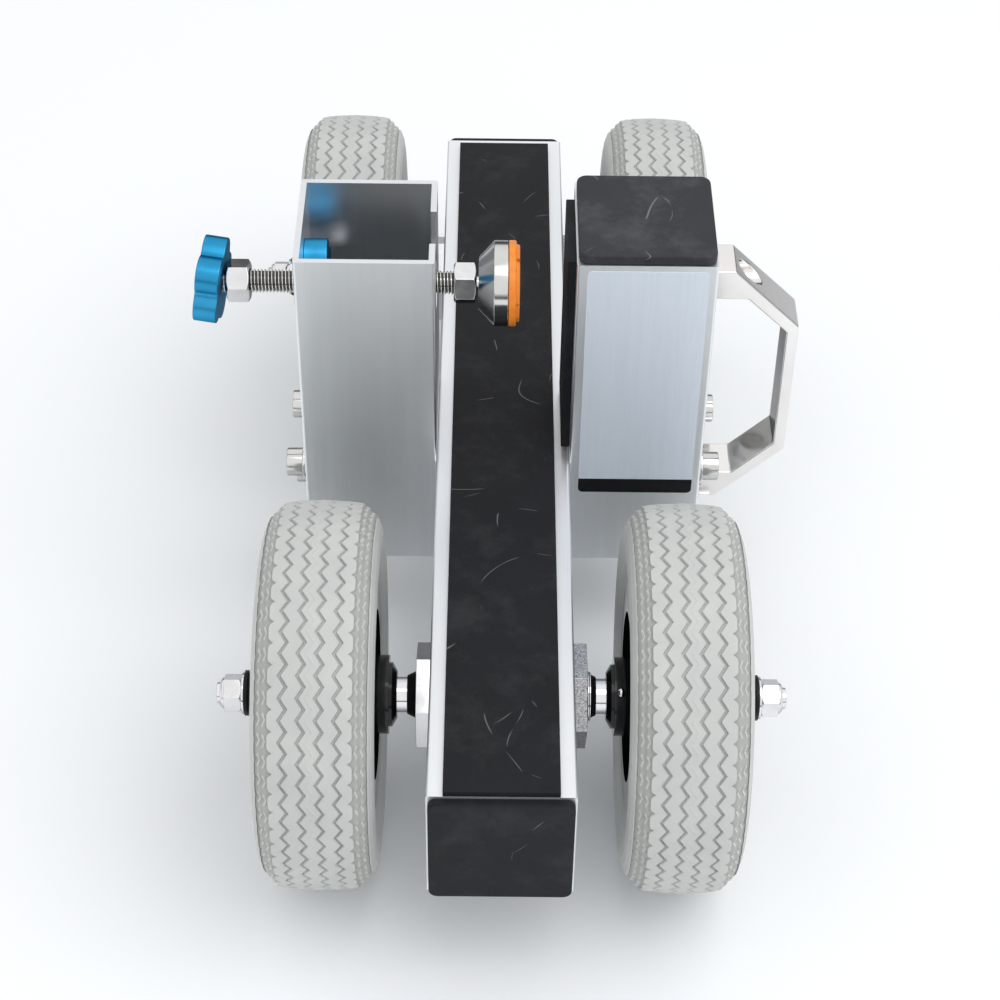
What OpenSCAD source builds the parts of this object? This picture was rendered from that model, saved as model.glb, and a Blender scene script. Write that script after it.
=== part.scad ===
// Slab and countertop dolly: a square beam on four wheels, a square post bolted to each side, and a screw
// clamp that presses a slab standing on the beam against the far post.
// X runs across the dolly, Y along the beam and Z up. The origin is on the floor under the middle of the beam.

/* [Tubes] */
// Side of the square tubes
tube = 80; // [74:1:96]
// Wall of the square tubes
tube_wall = 3.5; // [2:0.5:5]
// Outside corner radius of the tubes
tube_corner = 1.5; // [0.5:0.5:3]
// Length of the beam
beam_length = 600; // [540:10:900]
// Length of the posts
post_length = 230; // [222:2:320]

/* [Rubber pads] */
// Width of the strip that the slab stands on
strip_width = 62; // [40:1:70]
// Thickness of the strip
strip_thickness = 4; // [2:0.5:8]
// Bare length of beam behind the strip
strip_margin = 8; // [0:1:60]
// Width of the jaw pad
jaw_width = 60; // [40:1:70]
// Thickness of the jaw pad
jaw_thickness = 5; // [3:0.5:8]
// Distance of the jaw pad below the post's top
jaw_drop = 5; // [0:1:20]
// Thickness of the end caps outside the tube
end_thickness = 5; // [3:0.5:10]
// Corner radius of the end caps
end_corner = 5; // [2:0.5:10]
// Thickness of the post cap above the tube
cap_thickness = 6; // [3:0.5:12]
// Corner radius of the post cap
cap_corner = 6; // [2:0.5:10]
// How far the caps stay inside the tube's outline
cap_inset = 1; // [0.5:0.5:3]
// Depth of the caps' plugs in the tubes
plug_depth = 12; // [6:1:25]
// Wall of the caps' plugs
plug_wall = 4; // [2:0.5:8]

/* [Post bolts] */
// Diameter of the post bolts
bolt_d = 10; // [8:1:12]
// Spacing of the post bolts along the beam
bolt_spacing = 45; // [36:1:50]
// Distance of the bolt rows from the beam's top and bottom
bolt_edge = 12; // [11:1:18]
// Diameter of the bolt heads
bolt_head_d = 16; // [14:1:18]
// Height of the bolt heads
bolt_head_h = 10; // [6:1:12]
// Width across the flats of the sockets in the bolt heads
bolt_socket = 8; // [5:1:9]
// Diameter of the bolt washers
washer_d = 20; // [18:1:22]
// Thickness of the bolt washers
washer_t = 1.6; // [1:0.2:3]
// Length of bolt in the anchor block
bolt_grip = 20; // [12:1:30]
// Wall of the sleeves round the bolts inside the posts
sleeve_wall = 3; // [1.5:0.5:4]
// Length of the anchor block along the beam
anchor_length = 80; // [70:1:120]

/* [Handle] */
// Height of the handle
handle_height = 175; // [150:1:190]
// Reach of the handle from the post
handle_reach = 52; // [46:1:70]
// Width of the handle along the beam
handle_width = 24; // [20:1:36]
// Height of the handle's legs
handle_leg = 20; // [18:1:26]
// Length of the legs before the slanted arms
handle_foot = 15; // [12:1:18]
// Thickness of the slanted arms
handle_arm = 8; // [7:0.5:9]
// Thickness of the grip
handle_grip = 10; // [8:0.5:12]
// Distance of the handle below the post's top
handle_drop = 25; // [10:1:36]
// Diameter of the handle screws
handle_screw_d = 8; // [6:1:10]
// Height of the handle screws' heads
handle_screw_head = 8; // [5:1:9]
// Width across the flats of the nuts inside the post
handle_nut_af = 13; // [10:1:17]
// Height of the nuts inside the post
handle_nut_h = 6.5; // [4:0.5:9]

/* [Wheels] */
// Diameter of the tyres
tyre_d = 220; // [212:2:260]
// Width of the tyres
tyre_width = 64; // [62:1:80]
// Width of the tread
tread_width = 44; // [36:1:48]
// Depth of the tread grooves
groove_depth = 3; // [1:0.5:5]
// Width of the tread grooves
groove_width = 1.8; // [1:0.2:3]
// Spacing of the tread grooves
groove_spacing = 10; // [7:0.5:11]
// Distance between the front and rear axles
wheelbase = 385; // [350:5:420]
// Distance between the left and right wheel centres
track = 202; // [200:1:230]
// Diameter of the rims at the tyre beads
rim_d = 102; // [92:1:106]
// Diameter of the rim flanges
flange_d = 129; // [120:1:134]
// Width over the rim flanges
rim_width = 60; // [54:1:60]
// Metal thickness of the rims
rim_wall = 2.5; // [1.5:0.5:3]
// Thickness of the discs between the hubs and the rims
disc_t = 5; // [3:0.5:10]
// Outside diameter of the hubs
hub_d = 45; // [40:1:50]
// Length of the hubs without their dust caps
hub_length = 75; // [66:1:80]
// Diameter of the dust caps
dust_cap_d = 36.5; // [34:0.5:38]
// Length of the dust caps
dust_cap_length = 4.4; // [3:0.2:8]

/* [Axles] */
// Diameter of the axles
axle_d = 20; // [16:1:22]
// Diameter of the axle ends inside the wheels
axle_end_d = 12; // [10:1:14]
// Outside diameter of the bearings
bearing_d = 32; // [28:1:33]
// Width of the bearings
bearing_w = 10; // [7:1:14]
// Outside diameter of the housings through the beam
housing_d = 33; // [28:1:40]
// Width across the flats of the housing nuts
housing_nut_af = 52.5; // [46:0.5:60]
// Thickness of the housing nuts
housing_nut_h = 8; // [5:0.5:12]
// Length of the rubber seals
seal_length = 5.4; // [3:0.2:8]
// Diameter of the seals at the housing
seal_d = 27.2; // [26:0.2:32]
// Diameter of the black washer under the axle nut
buffer_d = 26; // [22:1:32]
// Thickness of the black washer
buffer_t = 3.2; // [1:0.2:5]
// Thickness of the plain washer under the axle nut
plain_washer_t = 2; // [1:0.2:3]
// Width across the flats of the axle nuts
axle_nut_af = 19; // [17:1:22]
// Height of the axle nuts
axle_nut_h = 9; // [7:0.5:12]
// Height of the locking collars on the nuts
collar_h = 2.8; // [1.5:0.1:5]
// Length of thread that shows past the axle nuts
thread_stub = 2.4; // [1:0.2:6]

/* [Clamp] */
// Distance of the screw below the post's top
clamp_drop = 39.5; // [35:0.5:48]
// Place of the screw along the beam, from the middle of the posts
clamp_shift = -6; // [-10:1:6]
// Diameter of the screw
screw_d = 14; // [12:1:16]
// Length of the screw from its outer end to the middle of its ball
screw_length = 167; // [160:1:190]
// Width across the flats of the jam nuts
jam_af = 22; // [19:1:24]
// Height of the jam nuts
jam_h = 13; // [8:0.5:14]
// Width of the notch in the post
notch_width = 30.5; // [28:0.5:36]
// Outside diameter of the star knob and the star nut
star_d = 52; // [46:1:60]
// Radius of the lobes' round ends
lobe_r = 9; // [8:0.5:10]
// Diameter inside the hollows between the lobes
star_root_d = 40; // [39:0.5:42]
// Thickness of the stars
star_t = 13.7; // [10:0.1:18]
// Lean of the outer star on the screw, in degrees
knob_lean = 8; // [0:1:8]
// Depth of screw end inside the star knob
knob_cover = 2; // [1:0.5:4]
// Diameter of the guide bush's flange
guide_d = 34; // [28:1:40]
// Thickness of the guide bush's flange
guide_t = 1.8; // [1:0.1:3]
// Wall of the guide bush
guide_wall = 2; // [1.5:0.5:3]
// Diameter of the stop bolt
stop_d = 10; // [8:1:10]
// Width across the flats of the stop bolt and its nut
stop_af = 17; // [13:1:17]
// Height of the stop bolt's head
stop_head_h = 6.4; // [5:0.1:8]
// Height of the stop bolt's nut
stop_nut_h = 7.5; // [6:0.5:9]
// Direction from the screw to the stop bolt, in degrees above level
stop_angle = -33; // [-60:1:0]

/* [Clamp foot] */
// Place of the foot's rubber face, across from the middle of the beam
foot_face = 8.3; // [0:0.1:20]
// Diameter of the rubber face
foot_pad_d = 51; // [46:1:60]
// Thickness of the rubber face
foot_pad_t = 6.7; // [5:0.1:12]
// Diameter of the metal cup
foot_cup_d = 50; // [46:1:58]
// Diameter of the small end of the cup
foot_neck_d = 30; // [26:1:36]
// Depth of the cup
foot_cup_depth = 17.1; // [16.6:0.1:24]
// Length of the cup's straight rim
foot_rim = 8; // [5:0.5:12]
// Metal in front of the ball
foot_web = 2.5; // [1.5:0.1:5]
// Diameter of the ball on the screw
ball_d = 12; // [10:0.5:14]
// Diameter of the neck behind the ball
neck_d = 8; // [6:0.5:9]
// Thickness of the plastic liners round the ball
liner_t = 1.3; // [1:0.1:2]
// Gap between the jam nut and the foot, which leaves room to swivel
swivel_gap = 1.4; // [1.2:0.1:3]

/* [Hidden] */
$fn = 96;
HEX = 6;

// Clearances
fit = 0.05;         // running fit, on the radius
bolt_room = 0.5;    // bolt holes, on the radius
loose = 0.3;        // between pieces that don't press on each other
over = 1;           // how far a cutter runs past a face

// Heights and faces of the frame
axle_z = tyre_d / 2;
beam_top = axle_z + tube / 2;
beam_bottom = axle_z - tube / 2;
post_top = beam_bottom + post_length;
post_inner = tube / 2;
post_outer = post_inner + tube;
bore_side = tube - 2 * tube_wall;
axle_y = wheelbase / 2;
front = -1;
rear = 1;

// Directions in which a lobe of each star points, in degrees from +Y towards +Z
star_lobes = 5;
knob_turn = 58;
star_turn = stop_angle - 180 / star_lobes;

// Post bolts
bolt_rows = [beam_bottom + bolt_edge, beam_top - bolt_edge];
bolt_places = [for (z = bolt_rows, y = [-bolt_spacing / 2, bolt_spacing / 2]) [y, z]];

// Handle
handle_top = post_top - handle_drop;
handle_screw_heights = [handle_top - handle_leg / 2, handle_top - handle_height + handle_leg / 2];
handle_seat = post_outer + handle_foot - 3;
handle_screw_hole = handle_screw_d / 2 + bolt_room;
handle_head_d = 1.6 * handle_screw_d;

// Axles, measured from the middle of the beam outwards
housing_end = tube / 2 + housing_nut_h;
seal_end = housing_end + seal_length;
wheel_x = track / 2;
hub_inner = wheel_x - hub_length / 2;
hub_outer = wheel_x + hub_length / 2;
cap_outer = hub_outer + dust_cap_length;
spacer_end = cap_outer + loose;
buffer_end = spacer_end + buffer_t;
washer_end = buffer_end + plain_washer_t;
axle_nut_end = washer_end + axle_nut_h;
axle_end = axle_nut_end + collar_h + thread_stub;
race_d = axle_end_d + 0.3 * (bearing_d - axle_end_d);
shoulder_d = min(axle_d, race_d - 1);

// Clamp, from the foot's rubber face outwards
clamp_y = clamp_shift;
clamp_z = post_top - clamp_drop;
ball_gap = 0.15;
liner_inner = ball_d / 2 + ball_gap;
liner_outer = liner_inner + liner_t;
socket_r = liner_outer + ball_gap;
cup_front = foot_face - foot_pad_t;
cup_back = cup_front - foot_cup_depth;
ball_x = cup_front - foot_web - socket_r;
socket_mouth = neck_d / 2 + 1.4;
foot_nut_end = cup_back - swivel_gap;
screw_end = ball_x - screw_length;
knob_middle = screw_end - knob_cover + star_t / 2;
lean_room = jam_af / cos(30) / 2 * tan(knob_lean) + loose;
knob_nut_start = knob_middle + star_t / 2 + lean_room;
star_x = -post_outer + tube_wall;
stop_distance = star_root_d / 2 + stop_d / 2 + loose;
stop_y = clamp_y + stop_distance * cos(stop_angle);
stop_z = clamp_z + stop_distance * sin(stop_angle);
stop_head_x = star_x + star_t + loose;
stop_length = stop_head_x + post_outer + stop_nut_h + collar_h;
sleeve_d = screw_d + 2 * fit + 2 * guide_wall;

// Colours
aluminium = "#d6d9dc";
chrome = "#c4c8cb";
rubber = "#2e2f33";
grey_rubber = "#a9aba5";
blue = "#2f8fd0";
orange = "#f08a2d";
black_metal = "#1c1d20";
brass = "#b59b5a";
steel = "#9ea2a6";
nylon = "#e8e4d8";

// Turns the local Z axis to +X and puts the origin at x, y, z
module on_x(x, y, z) translate([x, y, z]) rotate([0, 90, 0]) children();

// Turns the local Z axis to +Y and puts the origin at x, y, z
module on_y(x, y, z) translate([x, y, z]) rotate([-90, 0, 0]) children();

module both_sides() {
    children();
    mirror([1, 0, 0]) children();
}

module rounded_square(side, corner) {
    straight = side - 2 * corner;
    square([side, straight], center = true);
    square([straight, side], center = true);
    for (x = [-1, 1], y = [-1, 1])
        translate([x * straight / 2, y * straight / 2]) circle(r = corner);
}

module square_tube(length) {
    linear_extrude(length) difference() {
        rounded_square(tube, tube_corner);
        square(bore_side, center = true);
    }
}

// Hexagon with its edges turned down at the ends that are asked for, standing on the XY plane
module hexagon(af, h, first = true, last = true) {
    corner = af / cos(30) / 2;
    drop = (corner - af / 2 * 0.96) * tan(30);
    intersection() {
        cylinder(r = corner, h = h, $fn = HEX);
        rotate_extrude() polygon([
            [0, 0], [first ? af / 2 * 0.96 : corner, 0], [corner, first ? drop : 0],
            [corner, last ? h - drop : h], [last ? af / 2 * 0.96 : corner, h], [0, h]
        ]);
    }
}

module hex_nut(af, h, thread_d) {
    difference() {
        hexagon(af, h);
        translate([0, 0, -over]) cylinder(d = thread_d, h = h + 2 * over);
    }
}

// Nut with the rounded collar that holds its locking ring
module lock_nut(af, h, thread_d) {
    difference() {
        union() {
            hexagon(af, h, last = false);
            translate([0, 0, h]) rotate_extrude() polygon([
                [0, 0], [af / 2 * 0.92, 0], [af / 2 * 0.92, collar_h * 0.45], [af / 2 * 0.76, collar_h], [0, collar_h]
            ]);
        }
        translate([0, 0, -over]) cylinder(d = thread_d, h = h + collar_h + 2 * over);
    }
}

module ring(outer_d, inner_d, h) {
    difference() {
        cylinder(d = outer_d, h = h);
        translate([0, 0, -over]) cylinder(d = inner_d, h = h + 2 * over);
    }
}

// Socket-head screw with its head's underside on the XY plane and its shank below it
module socket_screw(d, length, head_d, head_h, socket) {
    translate([0, 0, -length]) cylinder(d = d, h = length);
    difference() {
        cylinder(d = head_d, h = head_h);
        translate([0, 0, head_h / 2]) cylinder(d = socket / cos(30), h = head_h, $fn = HEX);
    }
}

// Cap with a hollow plug that pushes into a square tube, its outer face up and its seat on the XY plane
module tube_cap(thickness, corner) {
    plug = bore_side - 2 * loose;
    linear_extrude(thickness) rounded_square(tube - 2 * cap_inset, corner);
    translate([0, 0, -plug_depth]) linear_extrude(plug_depth) difference() {
        square(plug, center = true);
        square(plug - 2 * plug_wall, center = true);
    }
}

// Beam

module main_beam() {
    color(aluminium) difference() {
        on_y(0, -beam_length / 2, axle_z) square_tube(beam_length);
        for (y = [-axle_y, axle_y])
            on_x(-tube, y, axle_z) cylinder(d = housing_d + 2 * fit, h = 2 * tube);
        for (p = bolt_places)
            on_x(-tube, p[0], p[1]) cylinder(r = bolt_d / 2 + bolt_room, h = 2 * tube);
    }
}

module beam_top_pad() {
    color(rubber) translate([-strip_width / 2, -beam_length / 2, beam_top])
        cube([strip_width, beam_length - strip_margin, strip_thickness]);
}

module front_end_pad() {
    color(rubber) on_y(0, -beam_length / 2, axle_z) mirror([0, 0, 1]) tube_cap(end_thickness, end_corner);
}

module rear_end_pad() {
    color(rubber) on_y(0, beam_length / 2, axle_z) tube_cap(end_thickness, end_corner);
}

// Posts

module post_blank(x) {
    difference() {
        translate([x, 0, beam_bottom]) square_tube(post_length);
        for (p = bolt_places)
            on_x(x - tube, p[0], p[1]) cylinder(r = bolt_d / 2 + bolt_room, h = 2 * tube);
    }
}

module left_post() {
    notch_bottom = clamp_z;
    color(aluminium) difference() {
        post_blank(-tube);
        // open notch in the inner wall, so that the jam nut can pass into the post
        on_x(-post_inner - tube_wall - over, clamp_y, notch_bottom)
            cylinder(d = notch_width, h = tube_wall + 2 * over);
        translate([-post_inner - tube_wall - over, clamp_y - notch_width / 2, notch_bottom])
            cube([tube_wall + 2 * over, notch_width, post_top - notch_bottom + over]);
        // holes in the outer wall for the guide bush and the stop bolt
        on_x(-post_outer - over, clamp_y, clamp_z) cylinder(d = sleeve_d, h = tube_wall + 2 * over);
        on_x(-post_outer - over, stop_y, stop_z)
            cylinder(r = stop_d / 2 + bolt_room, h = tube_wall + 2 * over);
    }
}

module right_post() {
    color(aluminium) difference() {
        post_blank(tube);
        for (z = handle_screw_heights)
            on_x(post_outer - tube_wall - over, 0, z) cylinder(r = handle_screw_hole, h = tube_wall + 2 * over);
    }
}

module right_post_cap() {
    color(rubber) translate([tube, 0, post_top]) tube_cap(cap_thickness, cap_corner);
}

module jaw_pad() {
    foot = beam_top + strip_thickness + loose;
    color(rubber) translate([post_inner - jaw_thickness, -jaw_width / 2, foot])
        cube([jaw_thickness, jaw_width, post_top - jaw_drop - foot]);
}

module anchor_block() {
    height = bore_side - 2 * loose;
    color(aluminium) difference() {
        translate([-bore_side / 2, -anchor_length / 2, axle_z - height / 2])
            cube([bore_side, anchor_length, height]);
        for (p = bolt_places)
            on_x(-bore_side, p[0], p[1]) cylinder(d = bolt_d, h = 2 * bore_side);
    }
}

module post_sleeves() {
    color(steel) both_sides() for (p = bolt_places)
        on_x(post_inner + tube_wall, p[0], p[1]) ring(bolt_d + 2 * bolt_room + 2 * sleeve_wall,
            bolt_d + 2 * bolt_room, bore_side);
}

module post_bolts() {
    under_head = post_outer + washer_t;
    length = under_head - (bore_side / 2 - bolt_grip);
    color(chrome) both_sides() for (p = bolt_places)
        on_x(under_head, p[0], p[1]) socket_screw(bolt_d, length, bolt_head_d, bolt_head_h, bolt_socket);
}

module bolt_washers() {
    color(steel) both_sides() for (p = bolt_places)
        on_x(post_outer, p[0], p[1]) ring(washer_d, bolt_d + bolt_room, washer_t);
}

// Handle

module handle_outline() {
    reach = handle_reach;
    arm = handle_reach - handle_foot;
    window = handle_reach - handle_grip;
    inner = handle_foot - handle_arm * sqrt(2);
    difference() {
        polygon([
            [0, 0], [handle_foot, 0], [reach, arm], [reach, handle_height - arm],
            [handle_foot, handle_height], [0, handle_height]
        ]);
        polygon([
            [-over, handle_leg], [inner + handle_leg, handle_leg], [window, window - inner],
            [window, handle_height - window + inner], [inner + handle_leg, handle_height - handle_leg],
            [-over, handle_height - handle_leg]
        ]);
    }
}

module handle() {
    color(aluminium) difference() {
        translate([post_outer, handle_width / 2, handle_top - handle_height])
            rotate([90, 0, 0]) linear_extrude(handle_width) handle_outline();
        for (z = handle_screw_heights) {
            on_x(post_outer - over, 0, z) cylinder(r = handle_screw_hole, h = handle_reach);
            on_x(handle_seat, 0, z) cylinder(d = handle_head_d + 2 * bolt_room, h = handle_reach);
        }
    }
}

module handle_screws() {
    length = handle_seat - post_outer + tube_wall + handle_nut_h + over;
    color(chrome) for (z = handle_screw_heights) {
        on_x(handle_seat, 0, z)
            socket_screw(handle_screw_d, length, handle_head_d, handle_screw_head, 0.75 * handle_screw_d);
        on_x(post_outer - tube_wall - handle_nut_h, 0, z)
            hex_nut(handle_nut_af, handle_nut_h, handle_screw_d);
    }
}

// Axles

module axle(side) {
    y = side * axle_y;
    color(chrome) {
        on_x(loose - hub_inner, y, axle_z) cylinder(d = axle_d, h = 2 * (hub_inner - loose));
        on_x(-hub_inner, y, axle_z) cylinder(d = shoulder_d, h = 2 * hub_inner);
        on_x(-axle_end, y, axle_z) cylinder(d = axle_end_d, h = 2 * axle_end);
    }
}

module axle_housing(side) {
    color(steel) on_x(-housing_end, side * axle_y, axle_z)
        ring(housing_d, axle_d + 2 * fit, 2 * housing_end);
}

module front_axle() axle(front);
module rear_axle() axle(rear);
module front_axle_housing() axle_housing(front);
module rear_axle_housing() axle_housing(rear);

// The two sides were tightened to different angles
module housing_nuts() {
    left_turn = 23;
    right_turn = 2;
    color(chrome) for (side = [front, rear]) {
        on_x(tube / 2, side * axle_y, axle_z) rotate(right_turn)
            hex_nut(housing_nut_af, housing_nut_h, housing_d);
        on_x(-housing_end, side * axle_y, axle_z) rotate(left_turn)
            hex_nut(housing_nut_af, housing_nut_h, housing_d);
    }
}

module axle_seals() {
    color(rubber) both_sides() for (side = [front, rear])
        on_x(housing_end, side * axle_y, axle_z) difference() {
            cylinder(d1 = seal_d, d2 = axle_d + 2, h = seal_length);
            translate([0, 0, -over]) cylinder(d = axle_d, h = seal_length + 2 * over);
        }
}

module axle_nuts() {
    color(chrome) both_sides() for (side = [front, rear])
        on_x(washer_end, side * axle_y, axle_z) lock_nut(axle_nut_af, axle_nut_h, axle_end_d);
}

module axle_buffers() {
    color(rubber) both_sides() for (side = [front, rear])
        on_x(spacer_end, side * axle_y, axle_z) ring(buffer_d, axle_end_d, buffer_t);
}

module axle_washers() {
    color(chrome) both_sides() for (side = [front, rear])
        on_x(buffer_end, side * axle_y, axle_z) ring(buffer_d - 2, axle_end_d, plain_washer_t);
}

module bearing_inner_rings() {
    color(steel) both_sides() for (side = [front, rear], x = [hub_inner, hub_outer - bearing_w])
        on_x(x, side * axle_y, axle_z) ring(race_d, axle_end_d, bearing_w);
}

// Long tube between the two bearings, and a short one from the outer bearing to the washers
module bearing_spacers() {
    color(steel) both_sides() for (side = [front, rear]) {
        on_x(hub_inner + bearing_w, side * axle_y, axle_z)
            ring(race_d, axle_end_d, hub_length - 2 * bearing_w);
        on_x(hub_outer, side * axle_y, axle_z) ring(race_d, axle_end_d, spacer_end - hub_outer);
    }
}

// Wheels, drawn round the Z axis with their middle on the XY plane

function inner_points(points) = [for (i = [1 : len(points) - 2]) points[i]];

function arc(x, y, r, from, to, steps) =
    [for (i = [0 : steps]) let (a = from + (to - from) * i / steps) [x + r * cos(a), y + r * sin(a)]];

// Outline of one half of the tyre from its tread's middle to the bead, as pairs of radius and height
function half_tyre() =
    let (r = tyre_d / 2, lip = rim_width / 2 - rim_wall, edge = flange_d / 2 + loose)
    let (crown = 150, crown_edge = asin(tread_width / 2 / crown), wall_r = 30)
    concat(
        [for (p = arc(0, r - crown, crown, 90, 90 - crown_edge, 6)) [p[1], p[0]]],
        [[r - 5, tread_width / 2 + 3]],
        [for (p = arc(tyre_width / 2 - wall_r, (edge + r) / 2, wall_r, 24, -28, 12)) [p[1], p[0]]],
        [[edge + 1.5, lip + 1.2], [edge, lip], [rim_d / 2, lip]]
    );

module tyre() {
    upper = half_tyre();
    lower = [for (i = [len(upper) - 1 : -1 : 1]) [upper[i][0], -upper[i][1]]];
    groove_floor = tyre_d - 2 * groove_depth;
    color(grey_rubber) difference() {
        rotate_extrude() polygon(concat(upper, lower));
        for (i = [-1.5 : 1.5])
            translate([0, 0, i * groove_spacing - groove_width / 2])
                ring(tyre_d + over, groove_floor, groove_width);
    }
}

// Rim, disc and hub in one piece
module rim() {
    seat = rim_d / 2;
    half = rim_width / 2;
    lip = half - rim_wall;
    well = seat - rim_wall;
    color(black_metal) difference() {
        union() {
            rotate_extrude() polygon([
                [seat, -lip], [seat, lip], [flange_d / 2, lip], [flange_d / 2, half], [well, half],
                [well, -half], [flange_d / 2, -half], [flange_d / 2, -lip]
            ]);
            translate([0, 0, -disc_t / 2]) cylinder(r = well + over / 2, h = disc_t);
            translate([0, 0, -hub_length / 2]) cylinder(d = hub_d, h = hub_length);
        }
        translate([0, 0, -hub_length / 2 - over]) cylinder(d = bearing_d - 6, h = hub_length + 2 * over);
        for (side = [-1, 1])
            translate([0, 0, side * (hub_length - bearing_w + over) / 2])
                cylinder(d = bearing_d, h = bearing_w + over, center = true);
    }
}

// The turning part of each bearing: its outer ring with the seals that reach in to the inner ring
module bearings() {
    half = hub_length / 2;
    color(steel) for (side = [-1, 1])
        translate([0, 0, side * (half - bearing_w / 2) - bearing_w / 2])
            ring(bearing_d, race_d + 2 * fit, bearing_w);
}

module dust_caps() {
    half = hub_length / 2;
    color(black_metal) for (side = [0, 1]) mirror([0, 0, side]) translate([0, 0, half]) difference() {
        rotate_extrude() polygon([
            [0, 0], [dust_cap_d / 2, 0], [dust_cap_d / 2, 0.4 * dust_cap_length],
            [axle_d / 2 + 3.5, dust_cap_length], [0, dust_cap_length]
        ]);
        translate([0, 0, -over]) cylinder(r = axle_d / 2 + loose, h = dust_cap_length + 2 * over);
    }
}

module at_wheel(x_side, y_side) {
    on_x(x_side * wheel_x, y_side * axle_y, axle_z) children();
}

// Clamp

// Outline of the stars: round lobes with hollows between them that meet them without a corner
function star_points() =
    let (lobe_at = star_d / 2 - lobe_r, root = star_root_d / 2, k = cos(180 / star_lobes))
    let (hollow_r = (lobe_at * lobe_at + root * root - 2 * lobe_at * root * k - lobe_r * lobe_r)
        / (2 * lobe_r - 2 * root + 2 * lobe_at * k))
    let (hollow_at = root + hollow_r, half = 180 / star_lobes)
    let (turn = atan2(hollow_at * sin(half), hollow_at * k - lobe_at))
    [for (i = [0 : star_lobes - 1])
        let (a = 2 * i * half, h = a + half)
        each concat(
            arc(lobe_at * cos(a), lobe_at * sin(a), lobe_r, a - turn, a + turn, 14),
            inner_points(arc(hollow_at * cos(h), hollow_at * sin(h), hollow_r,
                h + 180 + turn - half, h + 180 - turn + half, 8))
        )];

module star() {
    linear_extrude(star_t) polygon(star_points());
}

// Places a star so that a lobe points in the given direction
module star_on_x(x, lobe_angle) {
    translate([x, clamp_y, clamp_z]) rotate([lobe_angle, 0, 0]) rotate([90, 0, 90]) children();
}

module thrust_star_nut() {
    color(blue) difference() {
        star_on_x(star_x, star_turn) star();
        on_x(star_x - over, clamp_y, clamp_z) cylinder(d = screw_d + 2 * fit, h = star_t + 2 * over);
    }
}

module stop_bolt() {
    color(chrome) on_x(stop_head_x, stop_y, stop_z) {
        translate([0, 0, -stop_length]) cylinder(d = stop_d, h = stop_length);
        hexagon(stop_af, stop_head_h, first = false);
    }
}

module stop_nut() {
    color(chrome) on_x(-post_outer, stop_y, stop_z) mirror([0, 0, 1]) lock_nut(stop_af, stop_nut_h, stop_d);
}

// Bush in the post's outer wall; its flange is cut flat beside the stop bolt's nut
module rod_guide() {
    flat_at = stop_distance - stop_af / cos(30) / 2 - loose;
    color(brass) difference() {
        union() {
            on_x(-post_outer, clamp_y, clamp_z) cylinder(d = sleeve_d, h = tube_wall);
            on_x(-post_outer - guide_t, clamp_y, clamp_z) difference() {
                cylinder(d = guide_d, h = guide_t);
                rotate(stop_angle) translate([-guide_d, flat_at, -over])
                    cube([2 * guide_d, guide_d, guide_t + 2 * over]);
            }
        }
        on_x(-post_outer - guide_t - over, clamp_y, clamp_z)
            cylinder(d = screw_d + 2 * fit, h = guide_t + tube_wall + 2 * over);
    }
}

module clamp_screw() {
    color(chrome) {
        on_x(screw_end, clamp_y, clamp_z) cylinder(d = screw_d, h = foot_nut_end - screw_end);
        on_x(foot_nut_end, clamp_y, clamp_z) cylinder(d = neck_d, h = ball_x - foot_nut_end);
        translate([ball_x, clamp_y, clamp_z]) sphere(d = ball_d);
    }
}

// The knob sits a little out of square on the screw; its blind bore follows the screw
module clamp_knob() {
    lean_direction = 47;
    color(blue) difference() {
        translate([knob_middle, clamp_y, clamp_z]) rotate([lean_direction, 0, 0]) rotate([0, 0, -knob_lean])
            rotate([knob_turn - lean_direction, 0, 0]) rotate([90, 0, 90])
                translate([0, 0, -star_t / 2]) star();
        on_x(screw_end, clamp_y, clamp_z) cylinder(d = screw_d, h = 2 * star_t);
    }
}

module knob_jam_nut() {
    color(chrome) on_x(knob_nut_start, clamp_y, clamp_z) rotate(17) hex_nut(jam_af, jam_h, screw_d);
}

module foot_jam_nut() {
    color(chrome) on_x(foot_nut_end - jam_h, clamp_y, clamp_z) rotate(43) hex_nut(jam_af, jam_h, screw_d);
}

module liner_shell() {
    translate([ball_x, clamp_y, clamp_z]) difference() {
        sphere(r = liner_outer);
        sphere(r = liner_inner);
    }
}

// Front liner: the ball turns in it, and it doesn't turn or tilt itself
module socket_liner() {
    color(nylon) intersection() {
        liner_shell();
        on_x(ball_x + 0.4, clamp_y, clamp_z) cylinder(r = 2 * ball_d, h = 2 * ball_d);
    }
}

// Rear liner: tilts up and down on the ball, and the cup tilts sideways on it
module socket_ring() {
    color(nylon) difference() {
        intersection() {
            liner_shell();
            on_x(ball_x - 0.8 - 2 * ball_d, clamp_y, clamp_z) cylinder(r = 2 * ball_d, h = 2 * ball_d);
        }
        on_x(ball_x - 2 * ball_d, clamp_y, clamp_z) cylinder(r = socket_mouth, h = 2 * ball_d);
    }
}

module foot_cup() {
    color(chrome) difference() {
        on_x(cup_back, clamp_y, clamp_z) rotate_extrude() polygon([
            [0, 0], [foot_neck_d / 2, 0], [foot_cup_d / 2, foot_cup_depth - foot_rim],
            [foot_cup_d / 2, foot_cup_depth], [0, foot_cup_depth]
        ]);
        translate([ball_x, clamp_y, clamp_z]) sphere(r = socket_r);
        on_x(cup_back - over, clamp_y, clamp_z) cylinder(r = socket_mouth, h = ball_x - cup_back + over);
    }
}

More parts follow.
